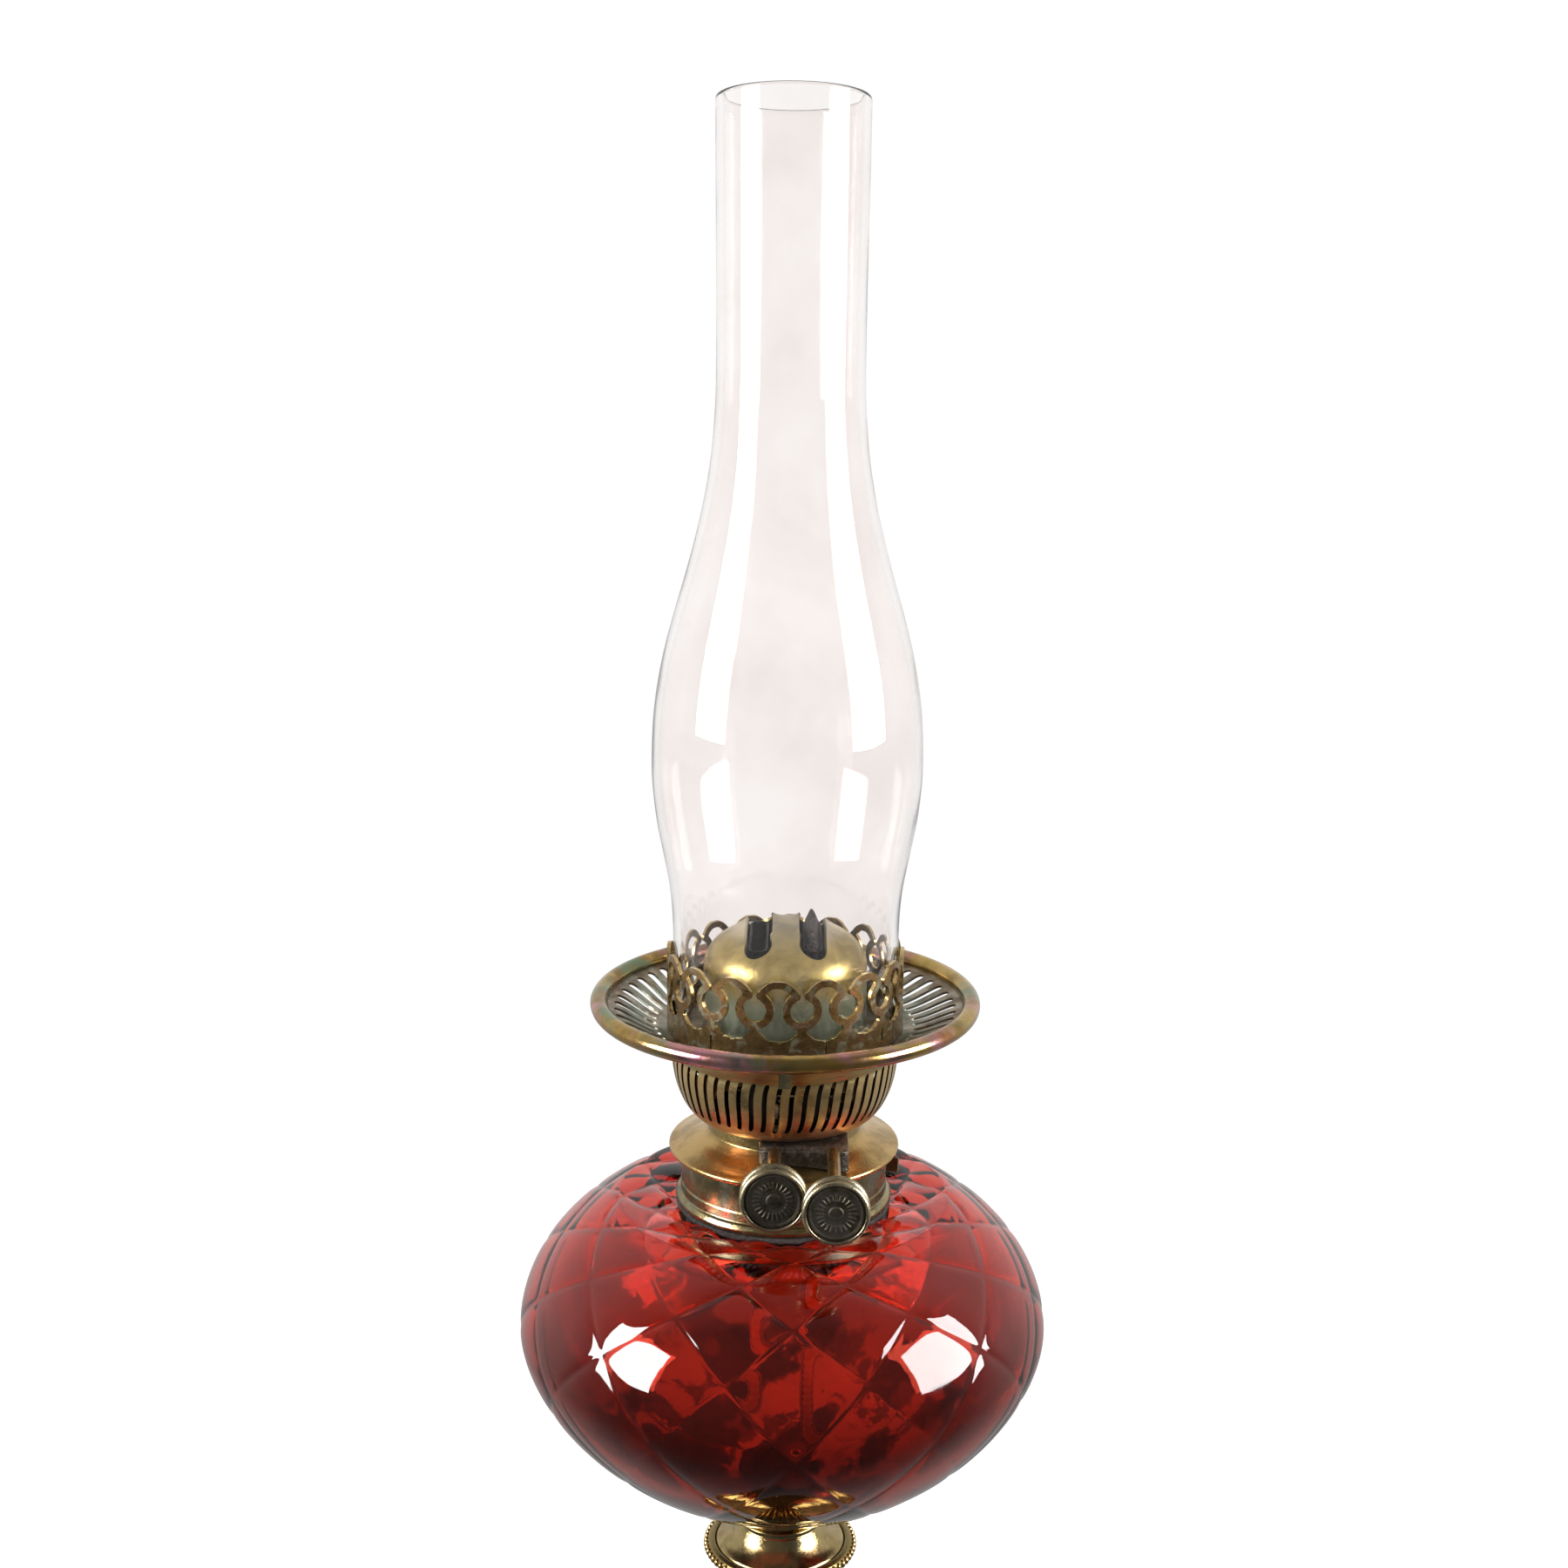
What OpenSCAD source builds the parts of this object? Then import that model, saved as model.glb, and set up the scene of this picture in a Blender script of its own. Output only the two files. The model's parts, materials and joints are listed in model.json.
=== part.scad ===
// Table oil lamp with a twin flat-wick burner, a cut glass font and a glass chimney.
// Millimetres. +Z is up, -Y is the front (the side with the two winder knobs).
// The origin is the centre of the foot's resting plane.

/* [Foot and column] */
// Diameter of the foot at its resting rim
foot_d = 150; // [120:1:180]
// Height of the stepped foot shell
foot_h = 44; // [36:1:60]
// Thickness of the spun brass sheet in the foot
foot_wall = 1.2; // [0.8:0.1:1.6]
// Height of the turned ring between foot and column
base_ring_h = 10; // [8:1:16]
// Length of the reeded column
column_h = 132; // [80:1:200]
// Radius of the column between its reeds
column_r = 12.2; // [10:0.1:14]
// Radius of one reed
reed_r = 1.9; // [1.2:0.1:2.4]
// Number of reeds round the column
reed_count = 18; // [12:1:24]
// Height of the capital's bell, up to its beaded rim
bell_h = 26; // [20:1:36]
// Outer radius of the beaded rim
bead_rim_r = 23; // [21:0.5:26]
// Rise of the polished dish above the beaded rim
dish_h = 9.4; // [7:0.1:12]
// Radius of the tie rod that draws the stand together
tie_rod_r = 3.9; // [3:0.1:4.5]

/* [Font] */
// Greatest radius of the glass font
font_r = 76.3; // [60:0.1:92]
// Height of the font below its widest line
font_low_h = 57; // [46:0.5:70]
// Height of the curve that the font follows above its widest line
font_top_h = 50.15; // [40:0.05:60]
// Glass thickness of the font
font_wall = 3.2; // [2.5:0.1:4]
// Height of the brass cup's stem under the font
cup_stem_h = 8.6; // [7:0.1:12]
// Radius of the brass cup's stem
cup_stem_r = 12.2; // [11.5:0.1:14]
// Radius of the glass peg that is cemented into the cup
peg_r = 8; // [6:0.1:9]

/* [Collar] */
// Outer radius of the font collar
collar_r = 29.6; // [29:0.1:36]
// Height of the font collar
collar_h = 15; // [14:0.5:22]
// Sheet thickness of the collar
collar_wall = 1; // [0.8:0.1:1.2]
// Radius of the bead at the collar's lower edge
collar_bead_r = 1.5; // [1:0.1:1.6]

/* [Burner] */
// How far the flange's rolled lip stands out past the collar
flange_over = 3.3; // [2.8:0.1:5]
// Drop of the flange from the neck to its lip
flange_drop = 5; // [4:0.5:8]
// Outer radius of the burner neck
neck_r = 21.9; // [21.5:0.1:23]
// Height of the burner neck above the flange
neck_h = 5; // [4.8:0.1:7]
// Thickness of the brass sheet in burner and gallery
sheet = 0.7; // [0.5:0.05:0.9]
// Outer radius of the air basket at its rim
basket_r = 34.4; // [33.4:0.1:34.6]
// Outer radius of the air basket where its bowl meets its flared rim
basket_bowl_r = 32.2; // [31:0.1:33]
// Height of the air basket's bowl
basket_bowl_h = 20; // [16:0.5:20]
// Height of the air basket
basket_h = 24; // [20:0.5:30]
// Number of air slots round the basket and round the gallery
slot_count = 54; // [36:1:60]
// Width of one air slot in the basket
basket_slot_w = 1.3; // [1:0.1:1.8]
// Width of one air slot in the gallery
tray_slot_w = 2.3; // [1.6:0.1:2.8]
// Distance of each wick from the middle of the burner
wick_x = 7.5; // [7:0.1:8.5]
// Width of a wick
wick_w = 28; // [24:0.5:29]
// Thickness of a wick
wick_t = 3.6; // [2.8:0.1:4]
// Height of the wick tubes above the basket floor
tube_rise = 52; // [46:0.5:54]

/* [Winders] */
// Distance of the left spindle from the middle of the burner
spindle_left_x = -2.6; // [-3:0.1:-2]
// Distance of the right spindle from the middle of the burner
spindle_right_x = 13.7; // [13:0.1:14.2]
// Radius of a winder spindle
spindle_r = 1.8; // [1.5:0.1:1.9]
// Reach of the left knob's face in front of the burner's middle
knob_left_reach = 58.5; // [56:0.5:60]
// Reach of the right knob's face in front of the burner's middle
knob_right_reach = 66; // [66:0.5:80]
// Radius of a winder knob
knob_r = 9; // [7:0.1:10]
// Thickness of a winder knob
knob_t = 5.6; // [4:0.1:7]
// Number of teeth on a wick wheel
wheel_teeth = 14; // [8:1:18]

/* [Gallery] */
// Outer radius of the shade ring's bead
shade_ring_r = 55; // [50:0.5:62]
// Radius of the bead's section
shade_bead_r = 2.5; // [1.5:0.1:3]
// Rise of the shade ring above the gallery floor
tray_rise = 7.5; // [5:0.1:10]
// Height of the pierced coronet
coronet_h = 23.4; // [20:0.1:30]
// Number of keyhole units round the coronet
coronet_units = 16; // [12:1:20]
// Radius of a coronet ring's hole
coronet_hole_r = 3.3; // [2.4:0.1:3.6]
// Turn of the coronet's first unit from the front, in degrees
coronet_turn = 8.1; // [0:0.1:22]
// Radius of the flame dome's skirt
dome_r = 23.4; // [22.8:0.1:24.5]
// Height of the dome's cylindrical skirt
dome_skirt_h = 18.5; // [14:0.5:22]
// Height of the dome's curved cap
dome_cap_h = 12.2; // [9:0.1:15]
// Width of a flame slot in the dome
flame_slot_w = 7.5; // [6:0.1:8]
// Length of a flame slot in the dome
flame_slot_l = 36; // [34:0.5:38]

/* [Chimney] */
// Radius of the chimney at its foot
chimney_foot_r = 32.2; // [31.5:0.1:32.4]
// Greatest radius of the chimney's bulge
chimney_bulge_r = 37.5; // [35:0.1:42]
// Radius of the chimney's straight funnel
chimney_top_r = 20.1; // [17:0.1:23]
// Length of the chimney
chimney_h = 252.4; // [200:0.1:300]
// Glass thickness of the chimney
chimney_wall = 2; // [1.5:0.1:2.5]

/* [Hidden] */
$fn = 96;

// Fits between pieces
seat_gap = 0.1;       // between pieces that are screwed, soldered or cemented together
run_gap = 0.05;       // radial, between a spindle and its bores
slide_gap = 0.4;      // between a piece and the sleeve or wall it slides in
wick_gap = 0.3;       // each side of a wick in its tube
mesh_gap = 0.25;      // between a wheel's teeth and the wick they bite
cut = 1;              // how far a cutter runs past the face it cuts

// Heights of the stand
ring_foot_z = foot_h + seat_gap;
column_z = ring_foot_z + base_ring_h + seat_gap;
capital_z = column_z + column_h + seat_gap;
bead_rim_z = capital_z + bell_h;
cup_z = bead_rim_z + dish_h + seat_gap;
font_foot_z = cup_z + cup_stem_h;

// Font: a superellipse below its widest line and an ellipse above it
font_low_power = 1.7;
font_foot_turn = 12;      // angle on the lower curve where the peg begins
shoulder_turn = 51.5;     // angle on the upper curve where the flat shoulder begins
font_mid_z = font_foot_z + font_low_h * pow(cos(font_foot_turn), 2 / font_low_power);
shoulder_z = font_mid_z + font_top_h * sin(shoulder_turn);
shoulder_dip = 1.3;
font_neck_r = collar_r - collar_wall - 1.9;
font_neck_wall = 3;
font_neck_h = collar_h - 7;   // stops short of the burner's skirt
font_neck_foot_z = shoulder_z - shoulder_dip;
font_neck_top_z = font_neck_foot_z + font_neck_h;
peg_h = 4.6;

// Collar and burner
collar_z = font_neck_foot_z + 0.6;
collar_top_z = collar_z + collar_h;
flange_z = collar_top_z + 1.2;
neck_z = flange_z + flange_drop;
basket_z = neck_z + neck_h;
basket_rim_z = basket_z + basket_h;
flange_r = collar_r + flange_over;
flange_lip_r = 0.9;
lip_r = collar_r - 3.1;       // opening in the collar's inward lip
skirt_r = lip_r - 0.8;        // bayonet skirt of the burner
skirt_h = 7;
skirt_foot_z = flange_z - 0.6 - skirt_h;
lug_t = 1.8;
lug_w = 8;
lug_r = collar_r - collar_wall - slide_gap;
lock_turn = 30;
tube_wall = 0.5;
tube_in_t = wick_t + 2 * wick_gap;
tube_in_w = wick_w + 2 * wick_gap;
tube_foot_z = skirt_foot_z - 16;
tube_top_z = basket_z + tube_rise;

// Winders
spindle_z = basket_z - sheet - spindle_r - 0.4;
spindle_tail_y = 13;
wheel_y = 8;
wheel_t = 1.6;
wheel_left_pitch_r = spindle_left_x - (-wick_x + wick_t / 2);
wheel_right_pitch_r = spindle_right_x - (wick_x + wick_t / 2);
box_y = -27;
box_side = 4.3;
plate_r = knob_r - 1.5;
plate_t = 0.8;

// Wicks
wick_left_top_z = tube_top_z + 1.2;
wick_right_top_z = tube_top_z + 7;
wick_foot_z = font_foot_z + 21;

// Gallery
tray_z = basket_rim_z + 0.8;             // underside of the gallery floor
floor_z = tray_z + sheet;                // where coronet, dome and chimney stand
shade_ring_z = floor_z + tray_rise;
shade_bead_mid_r = shade_ring_r - shade_bead_r;
tray_foot_r = chimney_foot_r + 2.6;
tray_top_r = shade_bead_mid_r - shade_bead_r + 0.4;
coronet_r = chimney_foot_r + 1;
coronet_wall = 0.6;
dome_wall = 0.8;
tab_w = 3.3;
tab_h = 5;

// A unit vector along v
function unit(v) = v / norm(v);

// The unit normal on the left of the line from a to b
function left_of(a, b) = let (d = unit(b - a)) [-d[1], d[0]];

// The line of points p moved by t to its left, with its corners kept sharp
function parallel(p, t) = [
    for (i = [0 : len(p) - 1])
        let (
            n0 = left_of(p[max(i - 1, 0)], p[max(i, 1)]),
            n1 = left_of(p[min(i, len(p) - 2)], p[min(i + 1, len(p) - 1)])
        )
        p[i] + t * (n0 + n1) / (1 + n0 * n1)
];

// The list p in the other direction
function reversed(p) = [for (i = [len(p) - 1 : -1 : 0]) p[i]];

// Points of a superellipse quarter of half width r and height h, from its pole to its widest line
function lower_curve(r, h, mid_z, power, from, step) = [
    for (a = [from : step : 90])
        [r * pow(sin(a), 2 / power), mid_z - h * pow(cos(a), 2 / power)]
];

// Points of an ellipse from its widest line up to the angle given
function upper_curve(r, h, mid_z, to, steps) = [
    for (i = [1 : steps]) let (a = to * i / steps) [r * cos(a), mid_z + h * sin(a)]
];

// Points of a smooth half-wave blend from radius r0 at z0 to radius r1 at z1
function blend(r0, z0, r1, z1, steps) = [
    for (i = [0 : steps]) let (u = i / steps) [r0 + (r1 - r0) * (1 - cos(180 * u)) / 2, z0 + (z1 - z0) * u]
];

// A solid of revolution from an outline of [radius, height] points
module turned(outline) {
    rotate_extrude() polygon(outline);
}

// A thin wall of revolution, t thick on the left of the line of points
module spun(line, t) {
    turned(concat(line, reversed(parallel(line, t))));
}

// A ring of round section
module wire_ring(r, section_r, z) {
    translate([0, 0, z]) rotate_extrude() translate([r, 0]) circle(section_r);
}

// A slot outline with round ends, its length along Y
module slot_outline(w, l) {
    square([w, l - w], center = true);
    for (s = [-1, 1]) translate([0, s * (l - w) / 2]) circle(w / 2);
}

// ---- stand ----

foot_line = concat(
    [[foot_d / 2, 0], [foot_d / 2, foot_h * 0.11], [foot_d / 2 - 1.6, foot_h * 0.17],
     [foot_d / 2 - 7, foot_h * 0.19], [foot_d / 2 - 8, foot_h * 0.27]],
    blend(foot_d / 2 - 11, foot_h * 0.31, foot_d * 0.3, foot_h * 0.5, 6),
    [[foot_d * 0.285, foot_h * 0.54], [foot_d * 0.28, foot_h * 0.6]],
    blend(foot_d * 0.265, foot_h * 0.63, foot_d * 0.125, foot_h * 0.92, 6),
    [[foot_d * 0.12, foot_h]]
);

module foot_shell() {
    color("goldenrod") difference() {
        union() {
            spun(foot_line, foot_wall);
            translate([0, 0, foot_h - 3]) cylinder(r = foot_d * 0.12 - foot_wall / 2, h = 3);
        }
        translate([0, 0, foot_h - 3 - cut]) cylinder(r = tie_rod_r + seat_gap, h = 3 + 2 * cut);
    }
}

foot_bead_r = 2.1;
foot_bead_mid_r = foot_d / 2 - 4.4;
foot_bead_z = foot_h * 0.19 + foot_bead_r + seat_gap;

module foot_beading() {
    color("gold") difference() {
        wire_ring(foot_bead_mid_r, foot_bead_r, foot_bead_z);
        rotate_extrude() polygon(concat(
            parallel([for (p = foot_line) p], -seat_gap), [[0, foot_h], [0, 0]]));
    }
}

weight_r = foot_d / 2 - 15;
weight_z = 3;
weight_h = foot_h * 0.23;

module foot_weight() {
    color("dimgray") difference() {
        union() {
            translate([0, 0, weight_z]) cylinder(r = weight_r, h = weight_h);
            translate([0, 0, weight_z]) cylinder(r = foot_d * 0.1, h = foot_h - 3 - seat_gap - weight_z);
        }
        cylinder(r = tie_rod_r + seat_gap, h = foot_h);
        translate([0, 0, weight_z - cut]) cylinder(r = 13, h = 5.2 + cut);
    }
}

module column_base_ring() {
    h = base_ring_h;
    r = column_r + reed_r;
    color("goldenrod") translate([0, 0, ring_foot_z]) turned([
        [tie_rod_r + seat_gap, 0], [foot_d * 0.12, 0], [foot_d * 0.12, h * 0.15], [r + 1.2, h * 0.3],
        [r + 3.4, h * 0.42], [r + 4, h * 0.55], [r + 3.4, h * 0.68], [r + 1, h * 0.8], [r + 1, h],
        [tie_rod_r + seat_gap, h]]);
}

module reeded_column() {
    color("goldenrod") translate([0, 0, column_z]) linear_extrude(column_h) difference() {
        union() {
            circle(column_r);
            for (i = [0 : reed_count - 1]) rotate(i * 360 / reed_count) translate([column_r, 0]) circle(reed_r);
        }
        circle(column_r - 2.4);
    }
}

rim_bead_r = 1.8;

module capital() {
    r = column_r + reed_r;
    color("gold") translate([0, 0, capital_z]) turned(concat(
        [[tie_rod_r + seat_gap, 0], [r + 1, 0], [r + 1, 2], [r + 2.6, 3], [r + 3, 4.4], [r + 2.6, 5.8], [r, 6.8]],
        blend(r - 0.6, 9, bead_rim_r - 2.5, bell_h - 3, 6),
        [[bead_rim_r - 2.2, bell_h - 2], [bead_rim_r - rim_bead_r * 2 - seat_gap, bell_h - 1.6],
         [bead_rim_r - rim_bead_r * 2 - seat_gap, bell_h + 1.4], [bead_rim_r - 4.6, bell_h + 1.7]],
        [for (i = [1 : 5]) let (a = 90 * i / 5)
            [9.6 + (bead_rim_r - 14.2) * (1 - sin(a)), bell_h + 1.7 + (dish_h - 3.7) * (1 - cos(a))]],
        [[11.6, bell_h + dish_h - 1.6], [11.6, bell_h + dish_h], [tie_rod_r + seat_gap, bell_h + dish_h]]));
}

module capital_beading() {
    color("gold") wire_ring(bead_rim_r - rim_bead_r, rim_bead_r, bead_rim_z);
}

cup_floor_h = 4.4;
cup_bore_r = peg_r + 2.2;
rod_foot_z = 1.6;

module tie_rod() {
    color("silver") translate([0, 0, rod_foot_z]) cylinder(r = tie_rod_r, h = cup_z + cup_floor_h - 0.3 - rod_foot_z);
}

nut_h = 3.6;
washer_h = 1.4;

module tie_nut() {
    z = weight_z + 5.2 - seat_gap - washer_h - seat_gap - nut_h;
    color("silver") translate([0, 0, z]) difference() {
        cylinder(r = 7.4, h = nut_h, $fn = 6);
        translate([0, 0, -cut]) cylinder(r = tie_rod_r + seat_gap, h = nut_h + 2 * cut);
    }
}

module tie_washer() {
    z = weight_z + 5.2 - seat_gap - washer_h;
    color("silver") translate([0, 0, z]) difference() {
        cylinder(r = 10.5, h = washer_h);
        translate([0, 0, -cut]) cylinder(r = tie_rod_r + seat_gap, h = washer_h + 2 * cut);
    }
}

module font_cup() {
    h = cup_stem_h;
    color("gold") translate([0, 0, cup_z]) turned([
        [tie_rod_r + seat_gap, 0], [11.4, 0], [cup_stem_r, 1.4], [cup_stem_r - 0.5, h * 0.45],
        [cup_stem_r, h * 0.75], [cup_stem_r + 1.2, h * 0.96], [cup_stem_r + 1.4, h],
        [cup_bore_r, h - 0.6], [cup_bore_r, cup_floor_h], [tie_rod_r + seat_gap, cup_floor_h]]);
}

// ---- font and collar ----

font_foot_r = font_r * pow(sin(font_foot_turn), 2 / font_low_power);

module peg_cement() {
    z0 = cup_z + cup_floor_h + seat_gap;
    color("lightgray") turned([
        [peg_r + seat_gap, z0], [cup_bore_r - seat_gap, z0],
        [cup_bore_r - seat_gap, font_foot_z - 0.8], [peg_r + seat_gap, font_foot_z - 0.8]]);
}

module font_glass() {
    in_r = font_r - font_wall;
    outside = concat(
        [[0, font_foot_z - peg_h + 0.7], [peg_r - 0.8, font_foot_z - peg_h + 0.7],
         [peg_r, font_foot_z - peg_h + 1.5], [peg_r, font_foot_z]],
        lower_curve(font_r, font_low_h, font_mid_z, font_low_power, font_foot_turn, 6),
        upper_curve(font_r, font_top_h, font_mid_z, shoulder_turn, 9),
        [[collar_r + 9, shoulder_z - 0.1], [collar_r + 3.5, shoulder_z - 0.6],
         [collar_r + 0.5, font_neck_foot_z], [font_neck_r, font_neck_foot_z], [font_neck_r, font_neck_top_z]]);
    inside = concat(
        [[font_neck_r - font_neck_wall, font_neck_top_z],
         [font_neck_r - font_neck_wall, font_neck_foot_z - font_wall],
         [collar_r + 3.5, shoulder_z - 0.6 - font_wall]],
        reversed(upper_curve(in_r, font_top_h - font_wall, font_mid_z, shoulder_turn - 3, 9)),
        reversed(lower_curve(in_r, font_low_h - font_wall, font_mid_z, font_low_power, 6, 6)),
        [[0, font_mid_z - font_low_h + font_wall]]);
    color("darkred", 0.7) turned(concat(outside, inside));
}

module collar_cement() {
    color("black") turned([
        [font_neck_r + seat_gap, font_neck_foot_z + seat_gap],
        [collar_r + 0.6, font_neck_foot_z + seat_gap],
        [collar_r + 0.6, collar_z - seat_gap],
        [collar_r - collar_wall - seat_gap, collar_z - seat_gap],
        [collar_r - collar_wall - seat_gap, font_neck_top_z - 1],
        [font_neck_r + seat_gap, font_neck_top_z - 1]]);
}

module font_collar() {
    lip_foot_z = collar_top_z - collar_wall;
    color("goldenrod") difference() {
        union() {
            turned([
                [collar_r - collar_wall, collar_z], [collar_r, collar_z], [collar_r, collar_top_z],
                [lip_r, collar_top_z], [lip_r, lip_foot_z], [collar_r - collar_wall, lip_foot_z]]);
            intersection() {
                wire_ring(collar_r, collar_bead_r, collar_z + collar_bead_r);
                translate([0, 0, collar_z]) difference() {
                    cylinder(r = collar_r + 3, h = 3 * collar_bead_r);
                    translate([0, 0, -cut]) cylinder(r = collar_r - collar_wall / 2, h = 3 * collar_bead_r + 2 * cut);
                }
            }
        }
        for (s = [0, 180]) rotate(s + lock_turn) translate([lip_r - cut, -lug_w / 2 - 0.6, lip_foot_z - cut / 4])
            cube([lug_r - lip_r + cut + 0.3, lug_w + 1.2, 2 * cut + collar_wall]);
    }
}

// ---- burner ----

module burner_flange() {
    skirt_top_z = neck_z - flange_drop * (skirt_r - neck_r) / (flange_r - neck_r) - sheet / 2;
    color("gold") difference() {
        union() {
            spun([[flange_r - flange_lip_r, flange_z + 0.2], [neck_r + 1.4, neck_z - 0.6], [neck_r, neck_z + 0.6],
                  [neck_r, basket_z - sheet - seat_gap]], sheet);
            wire_ring(flange_r - flange_lip_r, flange_lip_r, flange_z);
            turned([[skirt_r - sheet, skirt_foot_z], [skirt_r, skirt_foot_z],
                    [skirt_r, skirt_top_z], [skirt_r - sheet, skirt_top_z + 0.2]]);
            intersection() {
                for (s = [0, 180]) rotate(s) translate([skirt_r - sheet / 2, -lug_w / 2, skirt_foot_z + 1.6])
                    cube([lug_r - skirt_r + sheet, lug_w, lug_t]);
                cylinder(r = lug_r, h = neck_z);
            }
        }
        for (x = [spindle_left_x, spindle_right_x]) translate([x, 0, spindle_z]) rotate([90, 0, 0])
            cylinder(r = spindle_r + slide_gap, h = neck_r + 2);
    }
}

catch_turn = 75;

module bayonet_catch() {
    color("gold") rotate(catch_turn - 90) translate([collar_r + 0.8, -0.7, flange_z - flange_lip_r - seat_gap - 4.3])
        cube([3.3, 1.4, 4.3]);
}

module tube_plate() {
    color("goldenrod") difference() {
        translate([0, 0, skirt_foot_z + 0.4]) cylinder(r = skirt_r - sheet - seat_gap, h = 1);
        for (s = [-1, 1]) translate([s * wick_x, 0, skirt_foot_z - cut]) linear_extrude(3 * cut)
            slot_outline(tube_in_t + 2 * (tube_wall + seat_gap), tube_in_w + 2 * (tube_wall + seat_gap));
    }
}

// The basket's outer wall, from its floor up to its plain rim
basket_line = concat(
    [[neck_r - sheet, basket_z]],
    [for (a = [0 : 15 : 90])
        [neck_r + (basket_bowl_r - neck_r) * sin(a), basket_z + basket_bowl_h * (1 - cos(a))]],
    [[basket_r, basket_rim_z]]);
basket_slot_foot_z = basket_z + 4.2;
basket_slot_top_z = basket_rim_z - 4.6;

module air_basket() {
    color("darkgoldenrod") difference() {
        translate([0, 0, -sheet]) spun(basket_line, sheet);
        for (i = [0 : slot_count - 1]) rotate(i * 360 / slot_count)
            translate([neck_r + 2, -basket_slot_w / 2, basket_slot_foot_z])
                cube([basket_r - neck_r, basket_slot_w, basket_slot_top_z - basket_slot_foot_z]);
    }
}

// One wick tube with windows in its right side for the wheels on spindle_x
module wick_tube(x, spindle_x, wheel_r) {
    color("darkgoldenrod") difference() {
        translate([x, 0, tube_foot_z]) linear_extrude(tube_top_z - tube_foot_z) difference() {
            slot_outline(tube_in_t + 2 * tube_wall, tube_in_w + 2 * tube_wall);
            slot_outline(tube_in_t, tube_in_w);
        }
        for (y = [-wheel_y, wheel_y]) translate([x + tube_in_t / 4, y - wheel_t, spindle_z - wheel_r - slide_gap])
            cube([tube_in_t, 2 * wheel_t, 2 * (wheel_r + slide_gap)]);
    }
}

module wick_tube_left() {
    wick_tube(-wick_x, spindle_left_x, wheel_left_pitch_r);
}

module wick_tube_right() {
    wick_tube(wick_x, spindle_right_x, wheel_right_pitch_r);
}

module winder_box() {
    x0 = spindle_left_x - box_side;
    x1 = spindle_right_x + box_side;
    color("dimgray") difference() {
        translate([x0, box_y, flange_z]) cube([x1 - x0, -box_y, basket_z - sheet - seat_gap - flange_z]);
        cylinder(r = neck_r + seat_gap, h = basket_z + cut);
        turned([[0, flange_z - cut], [flange_r + 4, flange_z - cut], [flange_r + 4, flange_z - 0.5],
                [flange_r, flange_z + 0.9], [neck_r + 1.5, neck_z + 0.1], [neck_r, neck_z + 0.9],
                [0, neck_z + 0.9]]);
        for (x = [spindle_left_x, spindle_right_x]) translate([x, cut, spindle_z]) rotate([90, 0, 0])
            cylinder(r = spindle_r + run_gap, h = cut - box_y + cut);
    }
}

module spindle_bearing() {
    tube_half = tube_in_t / 2 + tube_wall + seat_gap;
    module ear(x, x0, x1) {
        difference() {
            translate([x0, spindle_tail_y - 2.2, spindle_z - 3.4]) cube([x1 - x0, 1.2, 5.6]);
            translate([x, spindle_tail_y + cut, spindle_z]) rotate([90, 0, 0]) cylinder(r = spindle_r + run_gap, h = 6);
        }
    }
    color("darkgoldenrod") {
        ear(spindle_left_x, -wick_x + tube_half, wick_x - tube_half);
        ear(spindle_right_x, wick_x + tube_half, spindle_right_x + 2.7);
    }
}

// ---- winders ----

// A spindle from its tail in the burner to the back of its knob
module spindle(x, reach) {
    color("darkkhaki") translate([x, spindle_tail_y, spindle_z]) rotate([90, 0, 0])
        cylinder(r = spindle_r, h = spindle_tail_y + reach - knob_t - seat_gap);
}

// A knob with a rolled edge and a shallow recess in its face
module knob(x, reach) {
    e = knob_t * 0.2;
    color("khaki") translate([x, -reach + knob_t, spindle_z]) rotate([90, 0, 0]) turned([
        [0, 0], [knob_r - e, 0], [knob_r - e / 3, e / 3], [knob_r, e], [knob_r - 0.5, knob_t * 0.4],
        [knob_r - 0.5, knob_t * 0.6], [knob_r, knob_t - e], [knob_r - e / 3, knob_t - e / 3], [knob_r - e, knob_t],
        [plate_r + seat_gap, knob_t], [plate_r + seat_gap, knob_t - 1.2], [0, knob_t - 1.2]]);
}

// The dark disc let into a knob's face
module knob_plate(x, reach) {
    color("black") translate([x, -reach + 1.2 - seat_gap, spindle_z]) rotate([90, 0, 0])
        cylinder(r = plate_r, h = plate_t);
}

// Two toothed wheels whose teeth reach to the wick's face, r away from the spindle's middle
module wick_wheels(x, r) {
    tip = r - mesh_gap;
    root = tip - 0.7;
    color("darkkhaki") for (y = [-wheel_y, wheel_y]) translate([x, y + wheel_t / 2, spindle_z]) rotate([90, 0, 0])
        difference() {
            linear_extrude(wheel_t) polygon([
                for (i = [0 : 2 * wheel_teeth - 1]) let (a = 180 * i / wheel_teeth, q = i % 2 == 0 ? tip : root)
                    [q * cos(a), q * sin(a)]]);
            translate([0, 0, -cut]) cylinder(r = spindle_r + seat_gap / 2, h = wheel_t + 2 * cut);
        }
}

module winder_spindle_left() {
    spindle(spindle_left_x, knob_left_reach);
}

module winder_knob_left() {
    knob(spindle_left_x, knob_left_reach);
}

module knob_plate_left() {
    knob_plate(spindle_left_x, knob_left_reach);
}

module wick_wheels_left() {
    wick_wheels(spindle_left_x, wheel_left_pitch_r);
}

module winder_spindle_right() {
    spindle(spindle_right_x, knob_right_reach);
}

module winder_knob_right() {
    knob(spindle_right_x, knob_right_reach);
}

module knob_plate_right() {
    knob_plate(spindle_right_x, knob_right_reach);
}

module wick_wheels_right() {
    wick_wheels(spindle_right_x, wheel_right_pitch_r);
}

// ---- wicks ----

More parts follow.
